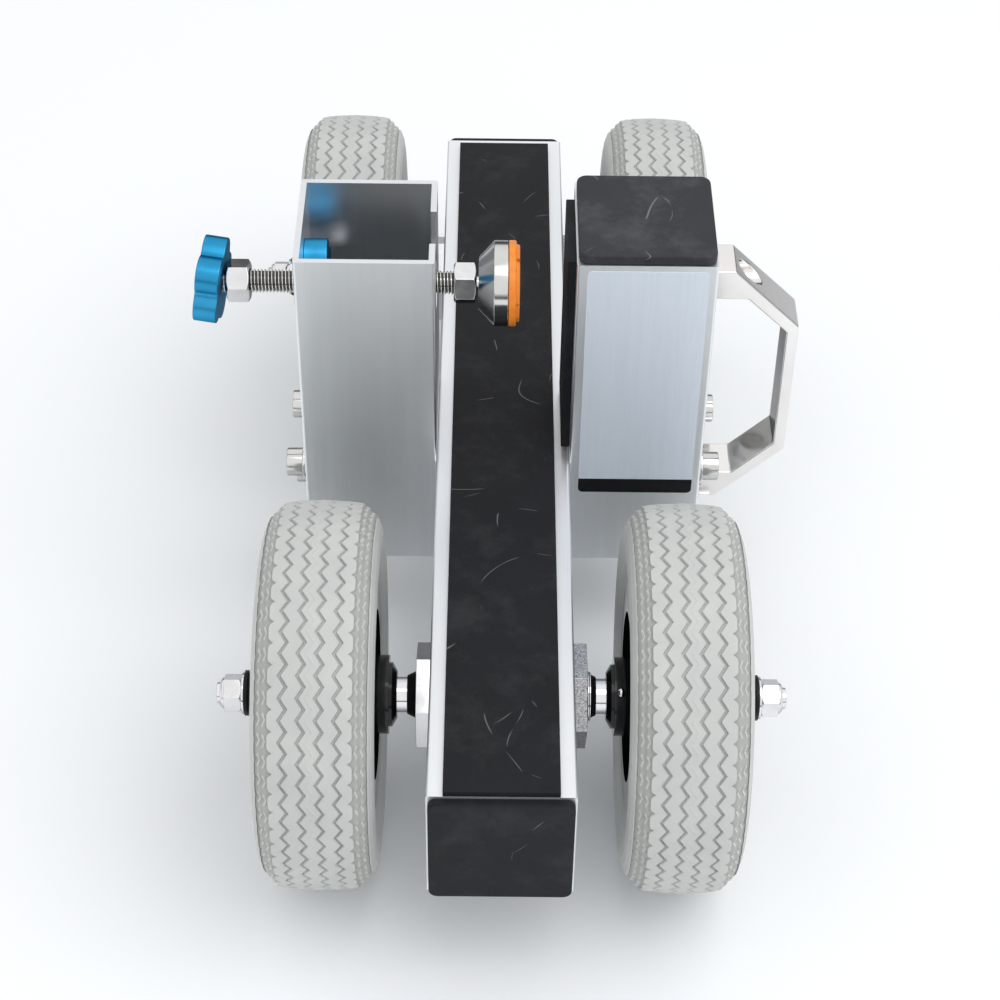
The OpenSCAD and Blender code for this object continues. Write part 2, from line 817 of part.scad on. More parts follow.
module foot_pad() {
    r = foot_pad_d / 2;
    step = 0.5;
    groove = [14.5, 16.5, 1.8];
    color(orange) on_x(cup_front, clamp_y, clamp_z) rotate_extrude() polygon([
        [0, 0], [r - 2, 0], [r - 2, step], [r, step], [r, foot_pad_t - 2], [r - 1.5, foot_pad_t - 0.4],
        [r - 3, foot_pad_t], [groove[1], foot_pad_t], [groove[1], foot_pad_t - groove[2]],
        [groove[0], foot_pad_t - groove[2]], [groove[0], foot_pad_t], [0, foot_pad_t]
    ]);
}

main_beam();
beam_top_pad();
front_end_pad();
rear_end_pad();
left_post();
right_post();
right_post_cap();
jaw_pad();
anchor_block();
post_sleeves();
post_bolts();
bolt_washers();
handle();
handle_screws();
front_axle();
rear_axle();
front_axle_housing();
rear_axle_housing();
housing_nuts();
axle_seals();
axle_nuts();
axle_buffers();
axle_washers();
bearing_inner_rings();
bearing_spacers();
thrust_star_nut();
stop_bolt();
stop_nut();
rod_guide();
clamp_screw();
clamp_knob();
knob_jam_nut();
foot_jam_nut();
socket_liner();
socket_ring();
foot_cup();
foot_pad();
at_wheel(-1, front) tyre();  // front_left_tyre
at_wheel(-1, front) rim();  // front_left_rim
at_wheel(-1, front) bearings();  // front_left_bearings
at_wheel(-1, front) dust_caps();  // front_left_dust_caps
at_wheel(1, front) tyre();  // front_right_tyre
at_wheel(1, front) rim();  // front_right_rim
at_wheel(1, front) bearings();  // front_right_bearings
at_wheel(1, front) dust_caps();  // front_right_dust_caps
at_wheel(-1, rear) tyre();  // rear_left_tyre
at_wheel(-1, rear) rim();  // rear_left_rim
at_wheel(-1, rear) bearings();  // rear_left_bearings
at_wheel(-1, rear) dust_caps();  // rear_left_dust_caps
at_wheel(1, rear) tyre();  // rear_right_tyre
at_wheel(1, rear) rim();  // rear_right_rim
at_wheel(1, rear) bearings();  // rear_right_bearings
at_wheel(1, rear) dust_caps();  // rear_right_dust_caps
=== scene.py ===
import math

import bmesh
import bpy
from mathutils import Matrix, Vector


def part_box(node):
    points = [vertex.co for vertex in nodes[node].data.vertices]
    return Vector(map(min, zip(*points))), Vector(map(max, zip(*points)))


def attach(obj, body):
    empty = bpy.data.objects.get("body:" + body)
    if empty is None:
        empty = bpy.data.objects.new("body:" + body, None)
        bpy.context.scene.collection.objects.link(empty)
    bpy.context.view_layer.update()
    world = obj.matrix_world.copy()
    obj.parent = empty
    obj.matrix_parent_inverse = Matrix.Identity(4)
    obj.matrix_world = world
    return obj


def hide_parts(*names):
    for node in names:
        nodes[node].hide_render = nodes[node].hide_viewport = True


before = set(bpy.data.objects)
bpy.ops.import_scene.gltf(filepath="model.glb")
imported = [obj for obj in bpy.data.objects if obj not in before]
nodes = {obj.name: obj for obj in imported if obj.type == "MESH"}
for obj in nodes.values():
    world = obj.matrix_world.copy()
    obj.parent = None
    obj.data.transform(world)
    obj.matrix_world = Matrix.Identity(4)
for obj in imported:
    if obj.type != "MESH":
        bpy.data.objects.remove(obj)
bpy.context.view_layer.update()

mm = 0.001  # sizes are in millimetres, and Blender's unit is the metre
wheelNames = ["front_left", "front_right", "rear_left", "rear_right"]
# weld is a distance and flat is in degrees; a flatWeight over 50 favours the large faces
meshSettings = {"weld": 0.002, "flat": 0.4, "flatWeight": 90}


# Meshes

def addObject(name, mesh):
    piece = bpy.data.objects.new(name, mesh)
    bpy.context.scene.collection.objects.link(piece)
    return piece


def toMesh(bm, name):
    mesh = bpy.data.meshes.new(name)
    bm.to_mesh(mesh)
    bm.free()
    return mesh


def markSharp(mesh, degrees):
    # smooth faces, with sharp edges where the surface turns
    bm = bmesh.new()
    bm.from_mesh(mesh)
    for face in bm.faces:
        face.smooth = True
    for edge in bm.edges:
        edge.smooth = len(edge.link_faces) != 2 or edge.calc_face_angle() < math.radians(degrees)
    bm.to_mesh(mesh)
    bm.free()


def bake(piece):
    # the evaluated piece becomes a plain mesh with no modifiers
    bpy.context.view_layer.update()
    graph = bpy.context.evaluated_depsgraph_get()
    mesh = bpy.data.meshes.new_from_object(piece.evaluated_get(graph))
    piece.modifiers.clear()
    piece.data = mesh


def settle(piece, degrees=40):
    # large faces stay flat beside their rounded edges
    bake(piece)
    markSharp(piece.data, degrees)
    weighted = piece.modifiers.new("shading", "WEIGHTED_NORMAL")
    weighted.keep_sharp = True
    weighted.weight = meshSettings["flatWeight"]
    bake(piece)
    return piece


def roundEdges(piece, width, segments=2, angle=32, degrees=40):
    bevel = piece.modifiers.new("edges", "BEVEL")
    bevel.width = width * mm
    bevel.segments = segments
    bevel.limit_method = "ANGLE"
    bevel.angle_limit = math.radians(angle)
    bevel.use_clamp_overlap = False
    return settle(piece, degrees)


def setMaterial(piece, material):
    piece.data.materials.clear()
    piece.data.materials.append(material)


def softCopy(name, body, material, cadNames, width, segments=2, angle=32, degrees=40, place=None):
    # a copy of CAD nodes with their edges rounded; place, where given, moves each point, in millimetres
    bm = bmesh.new()
    for cadName in cadNames:
        bm.from_mesh(nodes[cadName].data)
    if place:
        for vert in bm.verts:
            vert.co = place(vert.co / mm) * mm
    flat = math.radians(meshSettings["flat"])
    bmesh.ops.remove_doubles(bm, verts=bm.verts, dist=meshSettings["weld"] * mm)
    bmesh.ops.dissolve_limit(bm, angle_limit=flat, verts=bm.verts, edges=bm.edges)
    piece = roundEdges(addObject(name, toMesh(bm, name)), width, segments, angle, degrees)
    finishPiece(piece, body, material, cadNames)


def lathe(bm, points, centre, steps=64, turn=0.0):
    # turns pairs of x and radius round an axis along X, closed at both ends
    angles = [turn + 2 * math.pi * i / steps for i in range(steps)]
    y, z = centre
    rows = []
    for x, r in points:
        if r <= 0:
            rows.append([bm.verts.new((x, y, z))])
            continue
        rows.append([bm.verts.new((x, y + r * math.cos(a), z + r * math.sin(a))) for a in angles])
    for a, b in zip(rows, rows[1:]):
        for i in range(steps):
            j = (i + 1) % steps
            corners = [a[i % len(a)], a[j % len(a)], b[j % len(b)], b[i % len(b)]]
            corners = list(dict.fromkeys(corners))
            if len(corners) > 2:
                bm.faces.new(corners)


def joinRows(bm, one, two):
    # a band of faces between two closed rows of points
    for i in range(len(one)):
        j = (i + 1) % len(one)
        bm.faces.new((one[i], one[j], two[j], two[i]))


def faceOutwards(mesh, closeEnds=False):
    bm = bmesh.new()
    bm.from_mesh(mesh)
    if closeEnds:
        bmesh.ops.holes_fill(bm, edges=[e for e in bm.edges if len(e.link_faces) == 1], sides=0)
    bmesh.ops.recalc_face_normals(bm, faces=bm.faces)
    bm.to_mesh(mesh)
    bm.free()


def meshFrom(name, bm, degrees=40):
    bmesh.ops.remove_doubles(bm, verts=bm.verts, dist=meshSettings["weld"] * mm)
    bmesh.ops.recalc_face_normals(bm, faces=bm.faces)
    piece = addObject(name, toMesh(bm, name))
    markSharp(piece.data, degrees)
    return piece


def finishPiece(piece, body, material, cadNames=()):
    setMaterial(piece, material)
    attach(piece, body)
    if cadNames:
        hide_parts(*cadNames)


# Node trees

def addNode(tree, kind, values=None, **settings):
    node = tree.nodes.new(kind)
    for key, value in settings.items():
        setattr(node, key, value)
    for key, value in (values or {}).items():
        if isinstance(value, bpy.types.NodeSocket):
            tree.links.new(value, node.inputs[key])
        else:
            node.inputs[key].default_value = value
    return node


def math2(tree, operation, a, b=0.0):
    return addNode(tree, "ShaderNodeMath", {0: a, 1: b}, operation=operation).outputs[0]


def spread(tree, value, low, high, outLow, outHigh):
    values = {"Value": value, "From Min": low, "From Max": high, "To Min": outLow, "To Max": outHigh}
    return addNode(tree, "ShaderNodeMapRange", values).outputs["Result"]


def mixColour(tree, factor, a, b):
    return addNode(tree, "ShaderNodeMix", {0: factor, 6: a, 7: b}, data_type="RGBA").outputs[2]


def noise(tree, place, scale, detail=2.0, rough=0.5):
    values = {"Vector": place, "Scale": scale, "Detail": detail, "Roughness": rough}
    return addNode(tree, "ShaderNodeTexNoise", values).outputs["Fac"]


def stretched(tree, place, scale):
    return addNode(tree, "ShaderNodeMapping", {"Vector": place, "Scale": scale}).outputs[0]


def mixShaders(tree, share, one, two):
    return addNode(tree, "ShaderNodeMixShader", {0: share, 1: one, 2: two}).outputs[0]


def newGroup(name, inputs, outputs):
    tree = bpy.data.node_groups.new(name, "ShaderNodeTree")
    for label, kind, value in inputs:
        socket = tree.interface.new_socket(name=label, in_out="INPUT", socket_type=kind)
        socket.default_value = value
    for label, kind in outputs:
        tree.interface.new_socket(name=label, in_out="OUTPUT", socket_type=kind)
    source = tree.nodes.new("NodeGroupInput")
    target = tree.nodes.new("NodeGroupOutput")
    return tree, source.outputs, target.inputs


def brushedGrain():
    # fine streaks along one direction, with faint cloudy patches
    tree, source, target = newGroup("brushedGrain", [
        ("Stretch", "NodeSocketVector", (1.0, 1.0, 0.02)),
        ("Scale", "NodeSocketFloat", 1500.0),
    ], [("Streak", "NodeSocketFloat"), ("Cloud", "NodeSocketFloat"), ("Height", "NodeSocketFloat")])
    place = addNode(tree, "ShaderNodeTexCoord").outputs["Object"]
    along = stretched(tree, place, source["Stretch"])
    fine = noise(tree, along, source["Scale"], 3.0, 0.6)
    wide = noise(tree, along, math2(tree, "MULTIPLY", source["Scale"], 0.16), 2.0, 0.5)
    streak = math2(tree, "ADD", math2(tree, "MULTIPLY", fine, 0.6), math2(tree, "MULTIPLY", wide, 0.4))
    tree.links.new(streak, target["Streak"])
    tree.links.new(noise(tree, place, 14.0, 3.0), target["Cloud"])
    tree.links.new(fine, target["Height"])
    return tree


def scuffMarks():
    # thin curved scratches, short straight ones and dusty smears
    tree, source, target = newGroup("scuffMarks", [
        ("Amount", "NodeSocketFloat", 0.5),
        ("Smear", "NodeSocketFloat", 0.2),
        ("Seed", "NodeSocketFloat", 0.0),
    ], [("Mask", "NodeSocketFloat"), ("Grain", "NodeSocketFloat"), ("Cloud", "NodeSocketFloat")])
    place = addNode(tree, "ShaderNodeTexCoord").outputs["Object"]
    seed = source["Seed"]
    shift = addNode(tree, "ShaderNodeCombineXYZ", {"X": seed, "Y": seed, "Z": seed})
    adding = addNode(tree, "ShaderNodeVectorMath", {0: place, 1: shift.outputs[0]}, operation="ADD")
    moved = adding.outputs[0]
    total = None
    # scratches of three sizes: their scale, place, patches and how rare they are
    for scale, slide, patch, low in ((9.0, 0.13, 26.0, 0.60), (14.0, 0.57, 34.0, 0.61),
                                     (22.0, 0.91, 40.0, 0.62)):
        values = {"Vector": moved, "Location": (slide, 2 * slide, -slide),
                  "Rotation": (slide, 3 * slide, 5 * slide)}
        there = addNode(tree, "ShaderNodeMapping", values).outputs[0]
        wave = noise(tree, there, scale, 0.0)
        line = math2(tree, "ABSOLUTE", math2(tree, "SUBTRACT", wave, 0.5))
        thin = spread(tree, line, 0.0, scale * 0.00022, 1.0, 0.0)
        spot = spread(tree, noise(tree, there, patch, 1.0), low, low + 0.06, 0.0, 1.0)
        mark = math2(tree, "MULTIPLY", thin, spot)
        total = mark if total is None else math2(tree, "MAXIMUM", total, mark)
    smear = spread(tree, noise(tree, moved, 24.0, 6.0, 0.72), 0.50, 0.85, 0.0, 1.0)
    smear = math2(tree, "MULTIPLY", smear, source["Smear"])
    mask = math2(tree, "MAXIMUM", math2(tree, "MULTIPLY", total, source["Amount"]), smear)
    tree.links.new(mask, target["Mask"])
    tree.links.new(noise(tree, place, 1400.0, 2.0, 0.6), target["Grain"])
    tree.links.new(noise(tree, place, 18.0, 3.0, 0.6), target["Cloud"])
    return tree


def castGrain():
    # blotchy tone and a rough skin, for moulded and cast surfaces
    tree, source, target = newGroup("castGrain", [
        ("Blotch Scale", "NodeSocketFloat", 60.0),
        ("Skin Scale", "NodeSocketFloat", 1200.0),
    ], [("Blotch", "NodeSocketFloat"), ("Skin", "NodeSocketFloat")])
    place = addNode(tree, "ShaderNodeTexCoord").outputs["Object"]
    tree.links.new(noise(tree, place, source["Blotch Scale"], 4.0, 0.55), target["Blotch"])
    tree.links.new(noise(tree, place, source["Skin Scale"], 3.0, 0.6), target["Skin"])
    return tree


groups = {"brushed": brushedGrain(), "scuffs": scuffMarks(), "cast": castGrain()}


def newMaterial(name):
    material = bpy.data.materials.new(name)
    material.use_nodes = True
    tree = material.node_tree
    return material, tree, tree.nodes["Principled BSDF"]


def useGroup(tree, key, **values):
    node = addNode(tree, "ShaderNodeGroup", node_tree=groups[key])
    for label, value in values.items():
        node.inputs[label.replace("_", " ")].default_value = value
    return node.outputs


def bump(tree, shader, height, strength, distance):
    values = {"Height": height, "Strength": strength, "Distance": distance * mm}
    tree.links.new(addNode(tree, "ShaderNodeBump", values).outputs[0], shader.inputs["Normal"])


def brushedMetal(name, dark, light, rough, stretch, bumpBy, cloud=0.06, scale=1500.0, metallic=1.0):
    # in this and the next two, rough is the range of the roughness and bumpBy the strength of the bump
    material, tree, shader = newMaterial(name)
    grain = useGroup(tree, "brushed", Stretch=stretch, Scale=scale)
    tone = math2(tree, "ADD", spread(tree, grain["Streak"], 0.35, 0.65, 0.0, 1.0),
                 spread(tree, grain["Cloud"], 0.3, 0.7, -cloud * 4, cloud * 4))
    tree.links.new(mixColour(tree, tone, dark, light), shader.inputs["Base Color"])
    tree.links.new(spread(tree, grain["Streak"], 0.3, 0.7, rough[0], rough[1]), shader.inputs["Roughness"])
    shader.inputs["Metallic"].default_value = metallic
    bump(tree, shader, grain["Height"], bumpBy, 0.05)
    return material


def castMetal(name, dark, light, rough, bumpBy, blotch=40.0, skin=1500.0):
    material, tree, shader = newMaterial(name)
    grain = useGroup(tree, "cast", Blotch_Scale=blotch, Skin_Scale=skin)
    tone = spread(tree, grain["Blotch"], 0.35, 0.65, 0.0, 1.0)
    tree.links.new(mixColour(tree, tone, dark, light), shader.inputs["Base Color"])
    tree.links.new(spread(tree, grain["Blotch"], 0.3, 0.7, rough[0], rough[1]), shader.inputs["Roughness"])
    shader.inputs["Metallic"].default_value = 1.0
    shader.inputs["Specular Tint"].default_value = (0.42, 0.42, 0.44, 1)
    bump(tree, shader, grain["Skin"], bumpBy, 0.05)
    return material


def plainSkin(name, dark, light, rough, bumpBy, blotch=60.0, skin=1200.0, specular=0.5):
    material, tree, shader = newMaterial(name)
    grain = useGroup(tree, "cast", Blotch_Scale=blotch, Skin_Scale=skin)
    tone = spread(tree, grain["Blotch"], 0.3, 0.7, 0.0, 1.0)
    tree.links.new(mixColour(tree, tone, dark, light), shader.inputs["Base Color"])
    tree.links.new(spread(tree, grain["Skin"], 0.3, 0.7, rough[0], rough[1]), shader.inputs["Roughness"])
    shader.inputs["Specular IOR Level"].default_value = specular
    bump(tree, shader, grain["Skin"], bumpBy, 0.1)
    return material


def scuffedRubber(name, dark, light, pale, amount, smear, seed, specular):
    material, tree, shader = newMaterial(name)
    marks = useGroup(tree, "scuffs", Amount=amount, Smear=smear, Seed=seed)
    tone = math2(tree, "ADD", spread(tree, marks["Grain"], 0.3, 0.7, 0.0, 0.5),
                 spread(tree, marks["Cloud"], 0.35, 0.65, 0.0, 0.5))
    base = mixColour(tree, tone, dark, light)
    tree.links.new(mixColour(tree, marks["Mask"], base, pale), shader.inputs["Base Color"])
    tree.links.new(spread(tree, marks["Cloud"], 0.3, 0.7, 0.46, 0.62), shader.inputs["Roughness"])
    shader.inputs["Specular IOR Level"].default_value = specular
    bump(tree, shader, marks["Grain"], 0.2, 0.1)
    return material


metals = {
    "postTube": brushedMetal("postTube", (0.78, 0.80, 0.825, 1), (0.82, 0.84, 0.865, 1), (0.32, 0.40),
                             (1.0, 1.0, 0.012), 0.03),
    "beamTube": brushedMetal("beamTube", (0.83, 0.85, 0.875, 1), (0.88, 0.90, 0.925, 1), (0.28, 0.38),
                             (1.0, 0.012, 1.0), 0.03, metallic=0.75),
    "plate": brushedMetal("plate", (0.70, 0.765, 0.85, 1), (0.75, 0.815, 0.90, 1), (0.38, 0.48),
                          (1.0, 1.0, 0.03), 0.1, cloud=0.02, scale=2200.0, metallic=0.35),
    "polished": castMetal("polished", (0.84, 0.815, 0.795, 1), (0.90, 0.885, 0.87, 1), (0.14, 0.20), 0.02,
                          blotch=25.0),
    "chrome": castMetal("chrome", (0.76, 0.76, 0.77, 1), (0.84, 0.84, 0.85, 1), (0.06, 0.12), 0.02,
                        blotch=90.0),
    "turned": castMetal("turned", (0.66, 0.66, 0.645, 1), (0.72, 0.72, 0.705, 1), (0.12, 0.16), 0.01,
                        blotch=60.0),
    "steel": castMetal("steel", (0.42, 0.42, 0.43, 1), (0.54, 0.54, 0.55, 1), (0.28, 0.40), 0.08,
                       blotch=120.0),
    "castNut": castMetal("castNut", (0.22, 0.23, 0.24, 1), (0.74, 0.75, 0.76, 1), (0.26, 0.42), 1.0,
                         blotch=1000.0, skin=800.0),
    "blue": castMetal("blue", (0.03, 0.29, 0.54, 1), (0.045, 0.35, 0.63, 1), (0.30, 0.36), 0.03,
                      blotch=30.0),
    "bronze": castMetal("bronze", (0.42, 0.31, 0.15, 1), (0.54, 0.42, 0.22, 1), (0.25, 0.4), 0.08),
}
skins = {
    "orange": plainSkin("orangeRubber", (0.83, 0.22, 0.02, 1), (0.92, 0.29, 0.035, 1), (0.3, 0.45), 0.2,
                        blotch=160.0, skin=900.0, specular=0.4),
    "blackPaint": plainSkin("blackPaint", (0.005, 0.005, 0.006, 1), (0.009, 0.009, 0.011, 1),
                            (0.05, 0.09), 0.03, blotch=40.0, skin=500.0, specular=0.42),
    "blackPlastic": plainSkin("blackPlastic", (0.005, 0.005, 0.006, 1), (0.009, 0.009, 0.010, 1),
                              (0.08, 0.14), 0.04, skin=900.0, specular=0.35),
    "bandInk": plainSkin("bandInk", (0.004, 0.004, 0.005, 1), (0.007, 0.007, 0.008, 1), (0.4, 0.5), 0.05,
                         skin=900.0, specular=0.15),
    "nylon": plainSkin("nylon", (0.66, 0.63, 0.55, 1), (0.74, 0.71, 0.63, 1), (0.35, 0.5), 0.1),
    "strip": scuffedRubber("stripRubber", (0.009, 0.0093, 0.0115, 1), (0.017, 0.0175, 0.0205, 1),
                           (0.22, 0.22, 0.23, 1), amount=0.8, smear=0.12, seed=0.0, specular=0.15),
    "cap": scuffedRubber("capRubber", (0.025, 0.0255, 0.030, 1), (0.042, 0.043, 0.050, 1),
                         (0.22, 0.22, 0.23, 1), amount=0.9, smear=0.32, seed=0.7, specular=0.18),
    "seal": plainSkin("sealRubber", (0.008, 0.008, 0.010, 1), (0.014, 0.014, 0.016, 1), (0.35, 0.5), 0.1,
                      skin=900.0, specular=0.2),
}


def tyreRubber():
    # grey rubber with painted shade from the mesh: a little on the tread and groove floors, most on the
    # sunken shoulder bands and feet, none on raised lips, mould lines and rings
    material, tree, shader = newMaterial("tyreRubber")
    grain = useGroup(tree, "cast", Blotch_Scale=38.0, Skin_Scale=900.0)
    tone = spread(tree, grain["Blotch"], 0.3, 0.7, 0.0, 1.0)
    unshaded = mixColour(tree, tone, (0.53, 0.545, 0.53, 1), (0.60, 0.61, 0.59, 1))
    deep = addNode(tree, "ShaderNodeAttribute", attribute_name="paintedShade").outputs["Fac"]
    # painted shade: the mesh's mark mixes the rubber towards this darker grey
    tree.links.new(mixColour(tree, deep, unshaded, (0.33, 0.34, 0.31, 1)), shader.inputs["Base Color"])
    tree.links.new(spread(tree, grain["Skin"], 0.3, 0.7, 0.45, 0.6), shader.inputs["Roughness"])
    shader.inputs["Specular IOR Level"].default_value = 0.3
    bump(tree, shader, grain["Skin"], 0.3, 0.1)
    return material


def threadMetal():
    # plated thread with painted shade in its roots, which the mesh marks
    material, tree, shader = newMaterial("threads")
    grain = useGroup(tree, "cast", Blotch_Scale=200.0, Skin_Scale=1500.0)
    tone = spread(tree, grain["Blotch"], 0.35, 0.65, 0.0, 1.0)
    unshaded = mixColour(tree, tone, (0.76, 0.75, 0.73, 1), (0.88, 0.87, 0.85, 1))
    deep = addNode(tree, "ShaderNodeAttribute", attribute_name="paintedShade").outputs["Fac"]
    # painted shade: the root mark mixes the plating towards near black
    tree.links.new(mixColour(tree, deep, unshaded, (0.12, 0.12, 0.115, 1)), shader.inputs["Base Color"])
    tree.links.new(spread(tree, grain["Blotch"], 0.3, 0.7, 0.10, 0.18), shader.inputs["Roughness"])
    shader.inputs["Metallic"].default_value = 1.0
    bump(tree, shader, grain["Skin"], 0.03, 0.05)
    return material


skins["tyre"] = tyreRubber()
metals["threads"] = threadMetal()
print("materials:", len(metals) + len(skins))


# Repeats

def repeatTree():
    # copies a segment Count times, each moved by Offset and turned by Turn about X from the last
    tree = bpy.data.node_groups.new("repeatSegment", "GeometryNodeTree")
    sockets = {}
    for label, kind in (("Geometry", "Geometry"), ("Count", "Int"), ("Offset", "Vector"), ("Turn", "Float"),
                        ("Weld", "Float"), ("Material", "Material")):
        socket = tree.interface.new_socket(name=label, in_out="INPUT", socket_type="NodeSocket" + kind)
        sockets[label] = socket
    tree.interface.new_socket(name="Geometry", in_out="OUTPUT", socket_type="NodeSocketGeometry")
    source = tree.nodes.new("NodeGroupInput").outputs
    target = tree.nodes.new("NodeGroupOutput").inputs
    line = addNode(tree, "GeometryNodeMeshLine", {"Count": source["Count"], "Offset": source["Offset"]})
    index = addNode(tree, "GeometryNodeInputIndex").outputs[0]
    turn = math2(tree, "MULTIPLY", index, source["Turn"])
    angles = addNode(tree, "ShaderNodeCombineXYZ", {"X": turn}).outputs[0]
    copies = addNode(tree, "GeometryNodeInstanceOnPoints",
                     {"Points": line.outputs[0], "Instance": source["Geometry"], "Rotation": angles})
    real = addNode(tree, "GeometryNodeRealizeInstances", {0: copies.outputs[0]})
    weld = addNode(tree, "GeometryNodeMergeByDistance", {0: real.outputs[0], "Distance": source["Weld"]})
    skin = addNode(tree, "GeometryNodeSetMaterial", {0: weld.outputs[0], "Material": source["Material"]})
    tree.links.new(skin.outputs[0], target[0])
    return tree, {label: socket.identifier for label, socket in sockets.items()}


repeater, repeatInputs = repeatTree()


def repeat(piece, count, offset, turn, material, weld=0.004):
    modifier = piece.modifiers.new("repeat", "NODES")
    modifier.node_group = repeater
    modifier[repeatInputs["Count"]] = count
    modifier[repeatInputs["Offset"]] = offset
    modifier[repeatInputs["Turn"]] = turn
    modifier[repeatInputs["Weld"]] = weld * mm
    modifier[repeatInputs["Material"]] = material
    bake(piece)


# Tyres

# grooves and rows are places across from the middle; a bead row is place, radius and kind, and a wall row
# is the angle on the sidewall's arc and the kind; a cone has the place and radius where it starts, how far
# the radius falls for each millimetre across, and its rows
tyreSizes = {
    "radius": 110.0, "crown": 150.0, "pitches": 58, "turnBetween": 0.31, "sharp": 34,
    "steps": (0.0, 0.13, 0.25, 0.37, 0.5, 0.63, 0.75, 0.87, 1.0),
    "zigzag": 1.95, "zigzagEnd": 18.6, "zigzagFade": 1.2,
    "grooves": (4.8, 14.3), "grooveWidth": 2.1, "grooveDepth": 2.1, "lipWidth": 0.25, "lipDepth": 0.25,
    "slope": 0.3, "beside": 3.6, "mould": 0.2, "ring": 0.4,
    "tooth": 2.4, "toothSteps": {0: 1.0, 1: 0.25, 7: 0.25}, "toothDrop": 0.1, "shoulder": 0.9,
    "ridge": 0.75, "ridgeSteps": 3, "chevron": (0.75, 0.7, 0.8), "bandChevron": 0.6,
    # dark is the painted shade of each kind of point, most where the shoulder sinks; ridgeLighter takes
    # painted shade off the raised ridges
    "dark": {"tread": 0.15, "tooth": 0.1, "foot": 1.0, "band": 0.7}, "ridgeLighter": 0.95,
    "middleRows": ((0.0, "mould"), (0.35, "top"), (1.8, "top")),
    "edgeRows": ((19.4, "top"), (22.2, "tooth"), (22.5, "foot")),
    "cones": ((22.0, 108.4, 1.133, ((23.0, "band"), (23.3, "band"), (23.8, "ridge"), (24.3, "ridge"),
                                    (24.8, "band"))),
              (26.0, 104.0, 1.0, ((26.3, "band"), (26.8, "ridge"), (27.3, "ridge"), (27.8, "band"),
                                  (29.4, "band"), (29.8, "ring"), (30.2, "ring")))),
    "wallCentre": 3.0, "wallRadius": 30.0, "wallMiddle": 87.4,
    "wallRows": ((22.0, "side"), (17.5, "side"), (16.0, "ring"), (14.8, "ring"), (13.0, "side"),
                 (9.0, "side"), (7.6, "ring"), (6.4, "ring"), (5.0, "side"), (-1.0, "side"), (-8.0, "side"),
                 (-15.0, "side"), (-20.0, "ring"), (-22.0, "ring"), (-24.0, "side"), (-28.0, "side")),
    "beadRows": ((28.7, 66.3, "side"), (27.55, 64.9, "side"), (27.5, 58.0, "side"), (27.5, 51.0, "side")),
}


def tyreColumns(t):
    # half of the outline from the middle to the bead: place across, radius, kind
    half, lip, slope = t["grooveWidth"] / 2, t["lipWidth"], t["slope"]
    groove = ((-half - lip, "top"), (-half, "lip"), (-half + slope, "floor"), (half - slope, "floor"),
              (half, "lip"), (half + lip, "top"))
    columns = list(t["middleRows"])
    for middle in t["grooves"]:
        columns += [(middle + side, kind) for side, kind in groove]
        columns += [(middle + t["beside"], "top")]
    columns += t["edgeRows"]
    rows = [(a, t["radius"] - t["crown"] + math.sqrt(t["crown"] ** 2 - a * a), kind) for a, kind in columns]
    for start, radius, fall, places in t["cones"]:
        rows += [(a, radius - fall * (a - start), kind) for a, kind in places]
    for angle, kind in t["wallRows"]:
        turn = math.radians(angle)
        rows.append((t["wallCentre"] + t["wallRadius"] * math.cos(turn),
                     t["wallMiddle"] + t["wallRadius"] * math.sin(turn), kind))
    return rows + list(t["beadRows"])


def treadShape(t, kind, step):
    # height above the outline, sideways place and painted shade of a point of this kind at this step
    dark = t["dark"]
    tooth = -t["tooth"] * t["toothSteps"].get(step, 0.0)
    near = abs(step - len(t["steps"]) // 2)
    slope, start, rest = t["chevron"]
    onRidge = near < t["ridgeSteps"]
    chevron = near * slope - start if onRidge else rest
    raised = t["ridge"] if onRidge else 0.0
    shapes = {
        "floor": (-t["grooveDepth"], 0.0, dark["tread"]),
        "lip": (-t["lipDepth"], 0.0, 0.0),
        "mould": (t["mould"], 0.0, 0.0),
        "ring": (t["ring"], 0.0, 0.0),
        "tooth": (-t["toothDrop"], tooth, dark["tooth"]),
        "foot": (-t["shoulder"], tooth, dark["foot"]),
        "band": (-t["shoulder"], chevron * t["bandChevron"], dark["band"]),
        "ridge": (raised - t["shoulder"], chevron, dark["band"] - t["ridgeLighter"] * raised),
    }
    return shapes.get(kind, (0.0, 0.0, dark["tread"]))


def tyreSegment(t):
    # one pitch of the tread with its stretch of sidewall, round the X axis
    rows = tyreColumns(t)
    outline = [(-a, r, kind) for a, r, kind in reversed(rows)] + rows[1:]
    pitch = 2 * math.pi / t["pitches"]
    last = len(t["steps"]) - 1
    bm = bmesh.new()
    # each point keeps its painted shade in an attribute for the material
    paintedShade = bm.verts.layers.float.new("paintedShade")
    grid = []
    for step, share in enumerate(t["steps"]):
        swing = t["zigzag"] * (1 - 4 * abs(share - 0.5))
        line = []
        for a, r, kind in outline:
            # the far shoulder's teeth stand half a pitch on
            side = 1 if a > 0 else -1
            where = (step + (last // 2 if side < 0 else 0)) % last
            up, out, dark = treadShape(t, kind, where)
            hold = min(1.0, max(0.0, (t["zigzagEnd"] - abs(a)) / t["zigzagFade"]))
            x = (a + swing * hold + side * out) * mm
            radius = (r + up) * mm
            vert = bm.verts.new((x, radius * math.sin(pitch * share), radius * math.cos(pitch * share)))
            vert[paintedShade] = dark
            line.append(vert)
        grid.append(line)
    end = len(outline) - 1
    for one, two in zip(grid, grid[1:]):
        for i in range(end):
            bm.faces.new((one[i], two[i], two[i + 1], one[i + 1]))
        bm.faces.new((one[end], two[end], two[0], one[0]))
    bmesh.ops.recalc_face_normals(bm, faces=bm.faces)
    return toMesh(bm, "tyreSegment")


